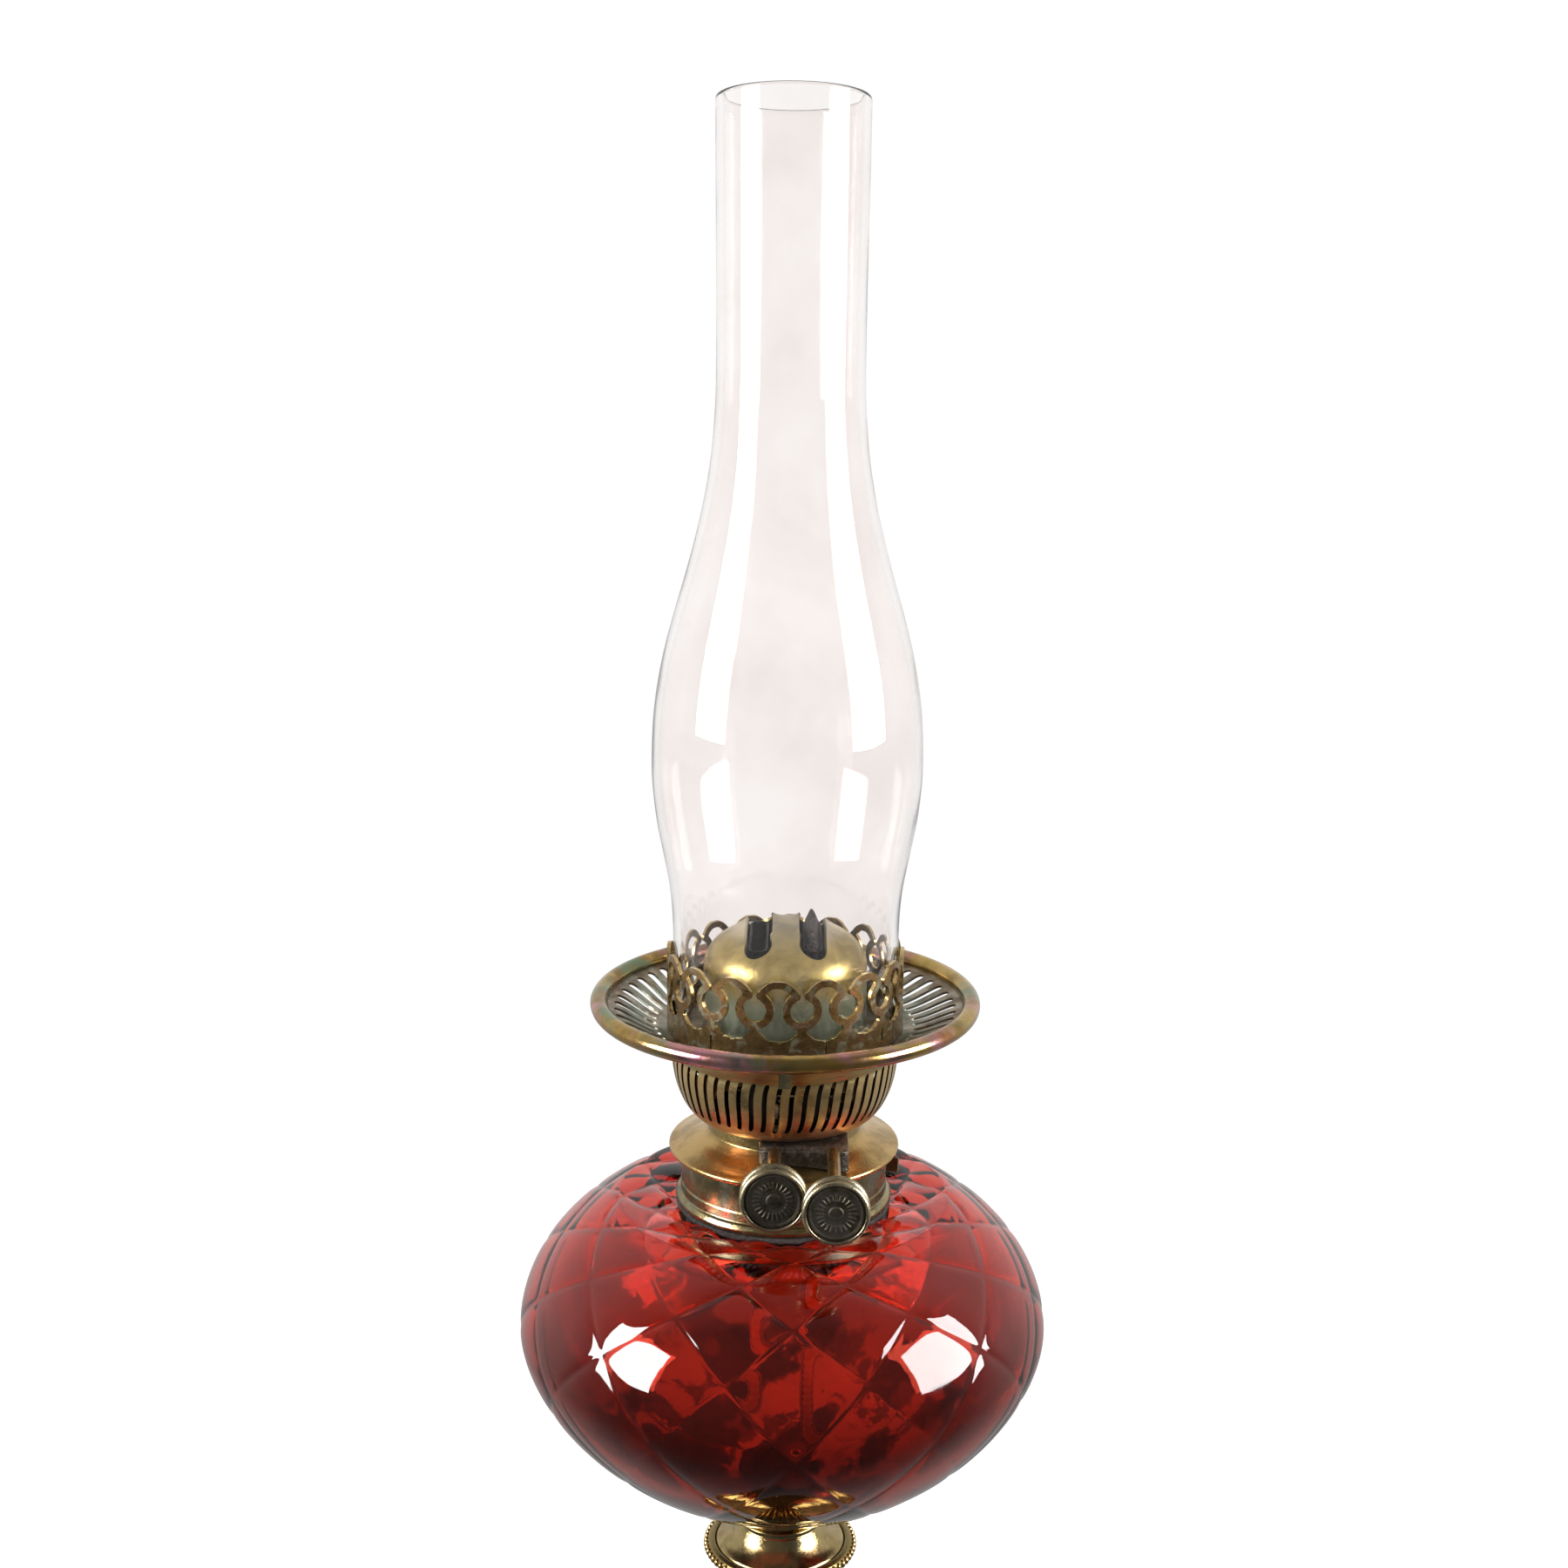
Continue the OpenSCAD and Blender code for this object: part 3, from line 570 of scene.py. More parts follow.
class Across(Enum):
    """Which way an overlaid tone, discolouring and painted shade alike, comes in over a piece."""

    HEIGHT = "height"
    RADIUS = "radius"
    CLOUD = "cloud"


@dataclass(frozen=True)
class StainAndShade:
    """A tone laid over part of a metal, discolouring on most finishes and painted shade and painted
    reflections on the collar: where it starts and is full, and how blotchy and dull it is.
    """

    tone: Tone
    across: Across
    start: float
    full: float
    strength: float = 1.0
    size: float = 6.0
    cover: float = 0.5
    dull: float = 0.25
    crust: float = 0.0


def patches(tone: Tone, strength: float, size: float, cover: float, dull: float = 0.25,
            crust: float = 0.0) -> StainAndShade:
    """Return a tone that lies in patches all over a piece: discolouring on most finishes, a painted
    reflection on the collar.
    """
    return StainAndShade(tone, Across.CLOUD, 0.0, 1.0, strength, size, cover, dull, crust)


@dataclass(frozen=True)
class Metal(Finish):
    """Old metal: a clean tone, a tarnish tone in clouds, overlaid tones that are discolouring on most
    finishes and painted shade and painted reflections on the collar, spinning lines, dents and pits.
    """

    clean: Tone
    tarnish: Tone
    gloss: tuple[float, float] = (0.16, 0.36)
    cloud: float = 14.0
    cover: float = 0.5
    stains_and_shading: tuple[StainAndShade, ...] = ()
    lines: float = 0.012
    dents: float = 0.05
    pits: float = 0.02
    axis: tuple[float, float] | None = None
    metallic: float = 1.0
    patina: float = 0.12

    def mix(self, g: Graph) -> bpy.types.Material:
        """Layer the tones by noise and place, and let the same noise dull the gloss."""
        x, y, z = g.axes()
        reach = g.reach(self.axis)
        clouds = g.noise(self.cloud, 5.0, 0.6, warp=0.3)
        grime = g.span(clouds, self.cover - 0.12, self.cover + 0.12)
        colour = g.blend(grime, linear(self.clean), linear(self.tarnish))
        dull = g.span(g.noise(2.4, 4.0, 0.65), 0.35, 0.7, (0.0, 0.35))
        dull = g.sum("ADD", dull, g.sum("MULTIPLY", grime, 0.5))
        metal = g.sum("SUBTRACT", self.metallic, g.sum("MULTIPLY", grime, self.patina))
        # each overlay is discolouring on most finishes, and painted shade and painted reflection on the
        # collar
        for overlay in self.stains_and_shading:
            bare = 1 - overlay.cover
            patch = g.span(g.noise(overlay.size, 4.0, 0.6, warp=0.6), bare - 0.1, bare + 0.1)
            if overlay.across is not Across.CLOUD:
                where = z if overlay.across is Across.HEIGHT else reach
                wobble = g.sum("MULTIPLY_ADD", g.noise(overlay.size * 0.6, 3.0), 2.4 * MM, where)
                patch = g.sum("MULTIPLY", patch, g.span(wobble, overlay.start * MM, overlay.full * MM))
            patch = g.sum("MULTIPLY", patch, overlay.strength)
            colour = g.blend(patch, colour, linear(overlay.tone))
            dull = g.sum("MULTIPLY_ADD", patch, overlay.dull, dull)
            metal = g.sum("MULTIPLY_ADD", patch, -overlay.crust, metal)
        along = z if self.axis is None else y
        groove = g.node("CombineXYZ", {0: reach, 1: along, 2: 0.0}).outputs[0]
        normal = g.bump(g.noise(0.35, 2.0, 0.7, groove), self.lines)
        normal = g.bump(g.noise(7.0, 2.0, 0.5), self.dents, 0.9, normal)
        normal = g.bump(g.span(g.noise(0.8, 3.0, 0.7), 0.3, 0.62), self.pits, 0.8, normal)
        rough = g.node("MapRange", {0: dull, 1: 0.0, 2: 1.0, 3: self.gloss[0], 4: self.gloss[1]}).outputs[0]
        return g.set(Base_Color=colour, Metallic=g.sum("MAXIMUM", metal, 0.0), Roughness=rough, Normal=normal)


@dataclass(frozen=True)
class Crust(Finish):
    """A dull, grainy filler such as plaster, cement or soot."""

    light: Tone
    dark: Tone
    grain: float = 0.9
    depth: float = 0.35
    rough: float = 0.85

    def mix(self, g: Graph) -> bpy.types.Material:
        """Vary the tone by coarse and fine noise, and raise the fine noise as grain."""
        fine = g.noise(self.grain, 5.0, 0.7)
        colour = g.blend(g.span(fine, 0.38, 0.62), linear(self.dark), linear(self.light))
        colour = g.blend(g.span(g.noise(7.0, 3.0), 0.45, 0.7, (0.0, 0.6)), colour, linear(self.dark))
        return g.set(Base_Color=colour, Roughness=self.rough, Normal=g.bump(fine, self.depth))


@dataclass(frozen=True)
class RubyGlass(Finish):
    """Red glass that darkens with its thickness, with painted light at the shoulder and foot and painted
    shade through the middle, and residue of old oil low down.
    """

    low: float
    high: float
    tones: tuple[tuple[float, Tone], ...]
    residue: Tone = (22, 9, 9)
    residue_top: float = 262.0
    body: tuple[float, float, float] = (0.79, 0.09, 0.04)
    density: float = 168.0

    def mix(self, g: Graph) -> bpy.types.Material:
        """Pick the tone by height, which paints light at the shoulder and foot and shade in the middle, and
        darken it in patches of residue.
        """
        z = g.axes()[2]
        level = g.node("MapRange", {0: z, 1: self.low * MM, 2: self.high * MM, 3: 0.0, 4: 1.0}).outputs[0]
        level = g.sum("MULTIPLY_ADD", g.noise(26.0, 3.0), 0.16, g.sum("SUBTRACT", level, 0.08))
        # painted light and shade: the ramp lightens the glass at the shoulder and foot and darkens its middle
        colour = g.ramp(level, self.tones)
        low = g.span(z, self.residue_top * MM, (self.residue_top - 7) * MM)
        patch = g.sum("MULTIPLY", low, g.span(g.noise(20.0, 7.0, 0.62, warp=0.3), 0.49, 0.515, (0.0, 0.94)))
        colour = g.blend(patch, colour, linear(self.residue))
        depth = g.node("VolumeAbsorption", {"Color": (*self.body, 1.0), "Density": self.density})
        g.tree.links.new(depth.outputs[0], g.tree.nodes["Material Output"].inputs["Volume"])
        normal = g.bump(g.noise(9.0, 2.0), 0.05, 0.7)
        normal = g.bump(g.noise(1.4, 2.0), 0.006, 0.7, normal)
        return g.set(Base_Color=colour, Roughness=g.span(g.noise(11.0, 4.0), 0.4, 0.75, (0.015, 0.09)),
                     Normal=normal, IOR=1.5, Transmission_Weight=1.0)


@dataclass(frozen=True)
class ClearGlass(Finish):
    """Thin blown glass with a faint warm tint, slight waves and a little dust."""

    tint: Tone = (252, 249, 248)
    dust: Tone = (247, 242, 240)

    def mix(self, g: Graph) -> bpy.types.Material:
        """Let broad noise tint the glass and wave its face."""
        colour = g.blend(g.span(g.noise(30.0, 3.0), 0.35, 0.7), linear(self.tint), linear(self.dust))
        normal = g.bump(g.noise(24.0, 1.0), 0.25, 0.6)
        return g.set(Base_Color=colour, Roughness=g.span(g.noise(18.0, 4.0), 0.45, 0.8, (0.0, 0.05)),
                     Normal=normal, IOR=1.45, Transmission_Weight=1.0)


@dataclass(frozen=True)
class WickCotton(Finish):
    """Woven cotton tape, oil-stained below and burnt to char at its top."""

    top: float
    char: float = 10.0
    soot: Tone = (12, 10, 11)
    # ash tone of the burnt top; the left wick's is passed in far darker as painted shade
    ash: Tone = (70, 60, 58)

    def mix(self, g: Graph) -> bpy.types.Material:
        """Weave two waves, then darken towards the top."""
        x, y, z = g.axes()
        ribs = g.node("TexWave", {"Vector": g.place, "Scale": 1 / (5.2 * MM), "Distortion": 1.2,
                                  "Detail": 2.0, "Detail Scale": 3.0}, bands_direction="Y").outputs[0]
        picks = g.node("TexWave", {"Vector": g.place, "Scale": 1 / (7.0 * MM), "Distortion": 0.8,
                                   "Detail": 1.0}, bands_direction="Z").outputs[0]
        weave = g.sum("MULTIPLY_ADD", picks, 0.45, ribs)
        cloth = g.blend(g.span(weave, 0.2, 1.2), linear((122, 96, 66)), linear((196, 172, 132)))
        edge = g.sum("MULTIPLY_ADD", g.noise(3.0, 4.0), 5.0 * MM, z)
        burnt = g.span(edge, (self.top - self.char - 6.0) * MM, (self.top - self.char) * MM)
        ash = g.blend(g.span(g.noise(0.9, 5.0, 0.7), 0.42, 0.66), linear(self.soot), linear(self.ash))
        colour = g.blend(burnt, cloth, ash)
        normal = g.bump(g.noise(0.7, 5.0, 0.7), 0.3, 0.8, g.bump(weave, 0.35, 0.8))
        return g.set(Base_Color=colour, Roughness=0.82, Normal=normal)


BRASS = Metal("polished_brass_old", (196, 160, 92), (146, 108, 56), (0.13, 0.3), cloud=18.0, cover=0.54,
              stains_and_shading=(patches((98, 74, 42), 0.55, 9.0, 0.38),))
DISH_BRASS = Metal("dish_brass", (176, 158, 112), (130, 108, 68), (0.1, 0.26), cloud=20.0, cover=0.52,
                   stains_and_shading=(patches((84, 66, 40), 0.55, 7.0, 0.4),), dents=0.03)
AGED_BRASS = Metal("aged_brass", (158, 132, 84), (96, 76, 48), (0.24, 0.48), cloud=8.0, cover=0.5)
# painted light on the collar: the pale blue-grey metallic patches are painted reflections, and the near-black
# band at its top is painted shade under the flange's lip
COLLAR_BRASS_PAINTED_SHADE_REFLECTION = Metal("collar_brass_painted_shade_reflection", (160, 146, 106), (104, 92, 62), (0.16, 0.36), cloud=9.0, cover=0.5,
                     stains_and_shading=(patches((128, 138, 132), 0.5, 11.0, 0.42),
                             StainAndShade((58, 48, 32), Across.HEIGHT, 332, 338, 0.6, 6.0, 0.6)))
FLANGE_BRASS = Metal("flange_brass", (192, 160, 104), (150, 122, 74), (0.16, 0.32), cloud=12.0, cover=0.54,
                     stains_and_shading=(StainAndShade((120, 108, 66), Across.RADIUS, 24.6, 22.4, 0.85, 9.0, 0.8),
                             patches((86, 66, 42), 0.35, 5.0, 0.32)))
BASKET_BRASS = Metal("basket_brass", (206, 178, 126), (160, 136, 90), (0.26, 0.44), cloud=7.0, cover=0.5,
                     stains_and_shading=(StainAndShade((160, 96, 74), Across.HEIGHT, 360.5, 356.0, 0.7, 5.0, 0.7),
                             StainAndShade((150, 138, 92), Across.HEIGHT, 369.5, 371.5, 0.8, 6.0, 0.8)))
# painted shade: the basket's slot walls are dark brown to stand in for the shade inside its slots
BASKET_EDGE_SHADE = Metal("basket_edge_painted_shade", (96, 74, 48), (54, 42, 30), (0.3, 0.5), cloud=4.0, cover=0.45)
SKIRT_BRASS = Metal("skirt_brass", (190, 180, 140), (130, 120, 86), (0.18, 0.36), cloud=6.0, cover=0.5)
TRAY_BRASS = Metal("tray_brass", (170, 162, 144), (116, 106, 88), (0.26, 0.5), cloud=6.0, cover=0.5,
                   stains_and_shading=(patches((126, 142, 130), 0.6, 5.0, 0.5, crust=0.5),
                           StainAndShade((120, 88, 58), Across.RADIUS, 43, 50, 0.5, 6.0, 0.6)))
BEAD_BRASS = Metal("shade_ring_brass", (184, 156, 94), (132, 104, 54), (0.12, 0.26), cloud=16.0, cover=0.5,
                   stains_and_shading=(patches((192, 128, 150), 0.75, 19.0, 0.42, -0.05),
                           patches((98, 132, 108), 0.7, 15.0, 0.42, 0.0),
                           patches((150, 76, 48), 0.6, 13.0, 0.34, 0.0)), dents=0.03, pits=0.01)
CORONET_BRASS = Metal("coronet_brass", (150, 124, 80), (104, 74, 48), (0.24, 0.46), cloud=4.0, cover=0.48,
                      stains_and_shading=(patches((128, 138, 114), 0.6, 4.0, 0.42, crust=0.4),
                              patches((142, 84, 56), 0.6, 3.0, 0.36)))
# painted highlight: the coronet's cut edges are a lighter, cleaner brass to stand in for the bright glints
# along them
CORONET_EDGE_HIGHLIGHT = Metal("coronet_edge_painted_highlight", (206, 182, 128), (150, 122, 76), (0.2, 0.38), cloud=3.0, cover=0.55)
DOME_BRASS = Metal("dome_brass", (176, 156, 100), (136, 120, 74), (0.3, 0.44), cloud=9.0, cover=0.52,
                   stains_and_shading=(StainAndShade((136, 148, 130), Across.HEIGHT, 394.0, 389.5, 0.9, 6.0, 0.95, crust=0.5),
                           StainAndShade((140, 136, 120), Across.HEIGHT, 403.0, 407.0, 0.55, 3.0, 0.6)), dents=0.04)
SOOTY_BRASS = Metal("sooty_brass", (44, 38, 32), (22, 19, 17), (0.35, 0.62), cloud=5.0, cover=0.46)
BOX_BRASS = Metal("oxidised_brass", (104, 98, 88), (58, 52, 47), (0.26, 0.5), cloud=3.4, cover=0.5,
                  stains_and_shading=(patches((142, 128, 108), 0.45, 1.6, 0.4),), dents=0.12, pits=0.08,
                  patina=0.3)
STEEL = Metal("dull_steel", (132, 128, 122), (84, 74, 66), (0.3, 0.55), cloud=6.0)
IRON = Metal("cast_iron", (58, 54, 52), (34, 28, 26), (0.5, 0.8), cloud=9.0, dents=0.3, pits=0.3)
PLASTER = Crust("old_plaster", (196, 188, 172), (150, 140, 124), 1.4, 0.3)
CEMENT = Crust("dark_cement", (62, 54, 50), (20, 17, 16), 0.8, 0.5)
# the tones by height are painted light and shade: lighter shoulder and foot, darker middle
RUBY = RubyGlass("ruby_glass", 233.0, 324.0,
                 ((0.0, (206, 120, 94)), (0.1, (176, 102, 80)), (0.26, (138, 88, 72)), (0.5, (122, 78, 66)),
                  (0.66, (186, 108, 88)), (0.8, (242, 138, 110)), (1.0, (248, 144, 112))))
CLEAR = ClearGlass("chimney_glass_clear")


# ---------------------------------------------------------------- the lamp's parts


@dataclass
class Stand:
    """Foot, reeded column, capital and the cup under the font. Heights are from the table."""

    foot_r: float = 75.0
    foot_h: float = 44.0
    foot_wall: float = 1.2
    base_ring_z: float = 44.1
    base_ring_h: float = 10.0
    column_z: float = 54.2
    column_h: float = 132.0
    column_r: float = 12.2
    reed_r: float = 1.9
    reeds: int = 18
    capital_z: float = 186.3
    bell_h: float = 26.0
    rim_r: float = 23.0
    cup_z: float = 221.8
    cup_h: float = 8.6
    cup_r: float = 12.2
    rod_bore: float = 4.0
    beads_on_foot: int = 96
    beads_on_rim: int = 66

    def foot(self) -> Shell:
        """Return the spun foot: rim, step, a wide hollow curve, a bead and the inner bell."""
        r, h = self.foot_r, self.foot_h
        line = chain([(r, 0), (r, h * 0.11), (r - 1.6, h * 0.17), (r - 7, h * 0.19), (r - 8, h * 0.27)],
                     flowing([(r - 11, h * 0.31), (r - 14, h * 0.34), (r * 0.7, h * 0.44),
                              (r * 0.6, h * 0.5)], 6),
                     flowing([(r * 0.585, h * 0.52), (r * 0.573, h * 0.56), (r * 0.56, h * 0.6)], 4),
                     flowing([(r * 0.53, h * 0.63), (r * 0.44, h * 0.7), (r * 0.32, h * 0.85),
                              (r * 0.25, h * 0.92)], 6),
                     [(r * 0.24, h)])
        outer = np.vstack([softened(line, 1.1, closed=False), [(self.rod_bore, h)]])
        return turned(softened(walled(outer, self.foot_wall), 0.3), 192)

    def column(self) -> Shell:
        """Return the reeded column.

        The radius at an angle is the larger of the core's and a reed's, whose height over the core
        is sqrt(reed^2 - d^2), d being the distance round the core from the reed's middle.
        """
        z0, z1, bore = self.column_z, self.column_z + self.column_h, self.column_r - 2.4
        side = np.column_stack([np.full(13, self.column_r), np.linspace(z0 + 1.2, z1 - 1.2, 13)])
        end_r = self.column_r - 0.3
        outline = chain([(bore, z0), (end_r, z0)], side, [(end_r, z1), (bore, z1)])

        def reeds(a: Array, r: Array, z: Array) -> Array:
            """Return the reeds' height over the core, let down to nothing at the column's ends."""
            d = wrapped(a, TAU / self.reeds) * self.column_r
            ends = np.clip(np.minimum(z - z0, z1 - z) / 1.2, 0, 1)
            return np.sqrt(np.clip(self.reed_r**2 - d**2, 0, None)) * ends * (r > bore + 0.5)

        return turned(outline, self.reeds * 16, reeds)

    def capital(self) -> Shell:
        """Return the capital: a collarino, the bell, the flat rim and the polished dish above it."""
        r, z, h = self.column_r + self.reed_r, self.capital_z, self.bell_h
        rim = self.rim_r
        outline = chain(
            [(self.rod_bore, 0), (r + 1, 0), (r + 1, 2)],
            flowing([(r + 1.4, 2.2), (r + 3, 4.4), (r + 1.4, 6.6)], 5),
            flowing([(r - 0.6, 7.6), (r - 0.2, 12), (rim - 6.4, 18.5), (rim - 2.6, h - 3)], 6),
            [(rim - 2.2, h - 2), (rim - 3.7, h - 1.4), (rim - 3.7, h + 0.9), (rim - 4.0, h + 1.5)],
            flowing([(rim - 4.6, h + 1.9), (rim - 6.4, h + 2.9), (rim - 8.7, h + 5.0),
                     (rim - 10.2, h + 7.7)], 6),
            [(12.4, h + 8.0), (12.4, h + 9.4), (self.rod_bore, h + 9.4)])
        return turned(softened(outline, 0.35)).raised(z)

    def rim(self) -> Shell:
        """Return the capital's rim: a flat band with a row of small beads on its edge."""
        z = self.capital_z + self.bell_h
        band = [(self.rim_r - 3.6, z - 1.5), (self.rim_r - 1.0, z - 1.2), (self.rim_r - 0.9, z + 0.2),
                (self.rim_r - 1.6, z + 1.2), (self.rim_r - 3.0, z + 1.5), (self.rim_r - 3.6, z + 1.2)]
        beads = bead_row(self.rim_r - 1.05, z - 0.2, self.beads_on_rim, 1.02, 1.2)
        return turned(softened(band, 0.4)).join(beads)

    def cup(self) -> Shell:
        """Return the cup that holds the font's peg."""
        h, r = self.cup_h, self.cup_r
        outline = chain([(self.rod_bore, 0), (11.4, 0)],
                        flowing([(r, 1.2), (r - 0.5, h * 0.45), (r, h * 0.75), (r + 1.2, h * 0.95)], 5),
                        [(r + 1.4, h), (10.2, h - 0.4), (10.2, 4.4), (self.rod_bore, 4.4)])
        return turned(softened(outline, 0.4)).raised(self.cup_z)

    def base_ring(self) -> Shell:
        """Return the turned ring between the foot and the column."""
        h, r, foot_r = self.base_ring_h, self.column_r + self.reed_r, self.foot_r * 0.24
        ring = chain([(self.rod_bore, 0), (foot_r, 0), (foot_r, h * 0.15)],
                     flowing([(r + 1.2, h * 0.3), (r + 4, h * 0.55), (r + 1.2, h * 0.8)], 7),
                     [(r + 1, h), (self.rod_bore, h)])
        return turned(softened(ring, 0.4)).raised(self.base_ring_z)

    def foot_beads(self) -> Shell:
        """Return the row of beads on the foot's step, strung on a ring."""
        z = self.foot_h * 0.19 + 2.2
        beads = bead_row(self.foot_r - 4.4, z, self.beads_on_foot, 2.1)
        return beads.join(wire_ring(self.foot_r - 4.9, 1.3, z - 0.5))

    def build(self) -> None:
        """Place the stand's pieces."""
        pieces = (("foot_shell_spun", self.foot, BRASS, "foot_shell"),
                  ("foot_bead_row", self.foot_beads, BRASS, "foot_beading"),
                  ("column_base_turned", self.base_ring, BRASS, "column_base_ring"),
                  ("column_reeded", self.column, BRASS, "reeded_column"),
                  ("capital_bell", self.capital, DISH_BRASS, "capital"),
                  ("capital_bead_rim", self.rim, FLANGE_BRASS, "capital_beading"),
                  ("font_cup_turned", self.cup, DISH_BRASS, "font_cup"))
        for name, shape, finish, node in pieces:
            place(name, shape(), finish, "stand", [node])


@dataclass
class Font:
    """The ruby glass font, whose quilting is two families of grooves that cross on rings.

    Along the outline from the neck, ring number w stands where the sum of length over radius is
    ring_sums[w]. A groove passes from one ring to the next while it turns by half a cell, so on the
    grid of half cells it runs along the squares' diagonals.
    """

    widest_r: float = 76.3
    widest_z: float = 285.94
    low_h: float = 57.0
    low_power: float = 1.7
    foot_turn: float = 12.0
    top_h: float = 50.15
    shoulder_turn: float = 51.5
    shoulder_z: float = 325.19
    neck_z: float = 323.89
    neck_r: float = 26.7
    neck_top_z: float = 331.89
    wall: float = 3.2
    peg_r: float = 8.0
    cells: int = 12
    steps_per_cell: int = 34
    turn: float = 3.0
    groove_depths: Line = ((0, 1.7), (1, 1.1), (2, 0.7), (3, 0.45), (4, 0.34), (8, 0.3), (11, 0.2))
    groove_sharpness: Line = ((0, 1.6), (1.5, 2.4), (3, 5.5), (5, 9.0), (11, 9.0))
    ring_sums: tuple[float, ...] = (0.13, 0.34, 0.54, 0.736, 0.94, 1.155, 1.43, 1.78, 2.205, 2.695,
                                    3.235, 3.835)

    def outer_line(self) -> Array:
        """Return the outline from the neck's root to the foot: a flat shoulder and two quarter curves."""
        up = np.radians(np.linspace(self.shoulder_turn, 0, 150))
        low = np.radians(np.linspace(90, self.foot_turn, 240))[1:]
        curve = 2 / self.low_power
        shoulder = flowing([(self.neck_r, self.neck_z), (31.0, self.neck_z), (34.0, self.shoulder_z - 0.6),
                            (39.5, self.shoulder_z - 0.1)], 12)
        return chain(shoulder,
                     np.column_stack([self.widest_r * np.cos(up), self.widest_z + self.top_h * np.sin(up)]),
                     np.column_stack([self.widest_r * np.sin(low) ** curve,
                                      self.widest_z - self.low_h * np.cos(low) ** curve]))

    def quilt(self, u: Array, v: Array, sharp: Array) -> Array:
        """Return the hollow of the quilting as a share of the grooves' depth.

        With a the distance from the nearest groove of one family, 0 on it and 1 in the middle of a
        cell, the family's share is 1 - (1 - a)^sharp, and the hollow is 1 less the two shares' product.
        Sharp is low at the neck, where the cells are pillows, and high below, where grooves are thin.
        """
        shares = [1 - (1 - np.abs(wrapped(w, 1.0)) * 2) ** sharp for w in (u, v)]
        return 1 - shares[0] * shares[1]

    def shell(self) -> Shell:
        """Work out the whole glass, outside and inside, as rows of equal count."""
        line = self.outer_line()
        step = np.hypot(*np.diff(line, axis=0).T)
        total = np.concatenate([[0], np.cumsum(step / ((line[1:, 0] + line[:-1, 0]) / 2))])
        slope = np.gradient(line, axis=0)
        slope /= np.hypot(*slope.T)[:, None]
        half = self.steps_per_cell // 2
        numbers = np.arange(len(self.ring_sums))
        law = np.polyfit(numbers, self.ring_sums, 5)
        w = np.arange(-half // 3, (len(numbers) - 1) * half + 1) / half
        sums = np.polyval(law, w)
        w = w[(sums > 0) & (sums < total[-1])]
        sums = np.polyval(law, w)
        r, z, sr, sz = (np.interp(sums, total, col) for col in (*line.T, *slope.T))
        around = self.cells * self.steps_per_cell
        a = np.arange(around) * TAU / around
        turns = np.arange(around)[None, :] / self.steps_per_cell
        sharp = np.interp(w, *zip(*self.groove_sharpness))[:, None]
        hollow = self.quilt(turns + w[:, None] / 2, turns - w[:, None] / 2, sharp)
        depth = np.interp(w, *zip(*self.groove_depths))
        depth = depth * eased(w, -0.25, 0.3) * eased(-w, -w[-1], -w[-1] + 0.8)
        inward = hollow * depth[:, None]
        rr, zz = r[:, None] + sz[:, None] * inward, z[:, None] - sr[:, None] * inward
        neck = softened([(self.neck_r - 3, self.neck_top_z), (self.neck_r, self.neck_top_z),
                         (self.neck_r, self.neck_z + 0.4)], 0.8, closed=False)
        foot = np.array([(self.peg_r + 2.2, 230.3), (self.peg_r, 229.9), (self.peg_r, 227.4),
                         (self.peg_r - 0.8, 226.5), (0.0, 226.5)])
        inner_up = np.radians(np.linspace(0, self.shoulder_turn - 3, 16))[1:]
        inner_low = np.radians(np.linspace(4, 90, 26))
        thin, curve = self.widest_r - self.wall - 1.2, 2 / self.low_power
        low_h, top_h = self.low_h - 4.4, self.top_h - 4.6
        inside = chain([(0.0, self.widest_z - low_h)],
                       np.column_stack([thin * np.sin(inner_low) ** curve,
                                        self.widest_z - low_h * np.cos(inner_low) ** curve]),
                       np.column_stack([thin * np.cos(inner_up), self.widest_z + top_h * np.sin(inner_up)]),
                       [(34.0, self.shoulder_z - 5.2), (self.neck_r - 3.2, self.neck_z - 3.4),
                        (self.neck_r - 3, self.neck_z)])
        flat = lambda p: (p[:, :1] + 0 * a, p[:, 1:] + 0 * a)
        parts = [flat(neck), (rr, zz), flat(foot), flat(inside)]
        rr, zz = (np.vstack([part[k] for part in parts]) for k in (0, 1))
        a = a + math.radians(self.turn)
        points = np.stack([rr * np.cos(a - np.pi / 2), rr * np.sin(a - np.pi / 2), zz], -1).reshape(-1, 3)
        rows = len(rr)
        i, j = divmod(np.arange(rows * around), around)
        p, q, s, t = grid_faces(rows, around, rows_close=True).T
        top, ends = len(neck), len(neck) + len(w)
        cut = (i >= top) & (i < ends - 1)
        row = (i - top) + round(w[0] * half) + 0.5
        col = j + 0.5
        near = [np.abs(wrapped((col + side * row) / self.steps_per_cell, 1.0)) for side in (1, -1)]
        rising = near[1] < near[0]
        pole = i == ends + len(foot) - 1
        block = np.column_stack([p, t, s, q])[~cut & ~pole]
        down = cut & rising
        up = cut & ~rising
        tris = np.vstack([np.column_stack([p, t, s])[down], np.column_stack([p, s, q])[down],
                          np.column_stack([p, t, q])[up], np.column_stack([q, t, s])[up]])
        return Shell(points, [block, tris])

    def cement(self) -> Shell:
        """Return the cement that squeezes out under the collar, with a ragged edge."""
        rag = np.random.default_rng(5)
        waves = [(k, rag.uniform(0, TAU), rag.uniform(0.2, 1.0) / k**0.5) for k in range(5, 46, 3)]

        def ragged(a: Array, r: Array, z: Array) -> Array:
            """Return a sum of waves round the ring, on the outer points only."""
            return (r > 29.9) * 0.3 * (0.3 + sum(s * np.sin(k * a + p) for k, p, s in waves))

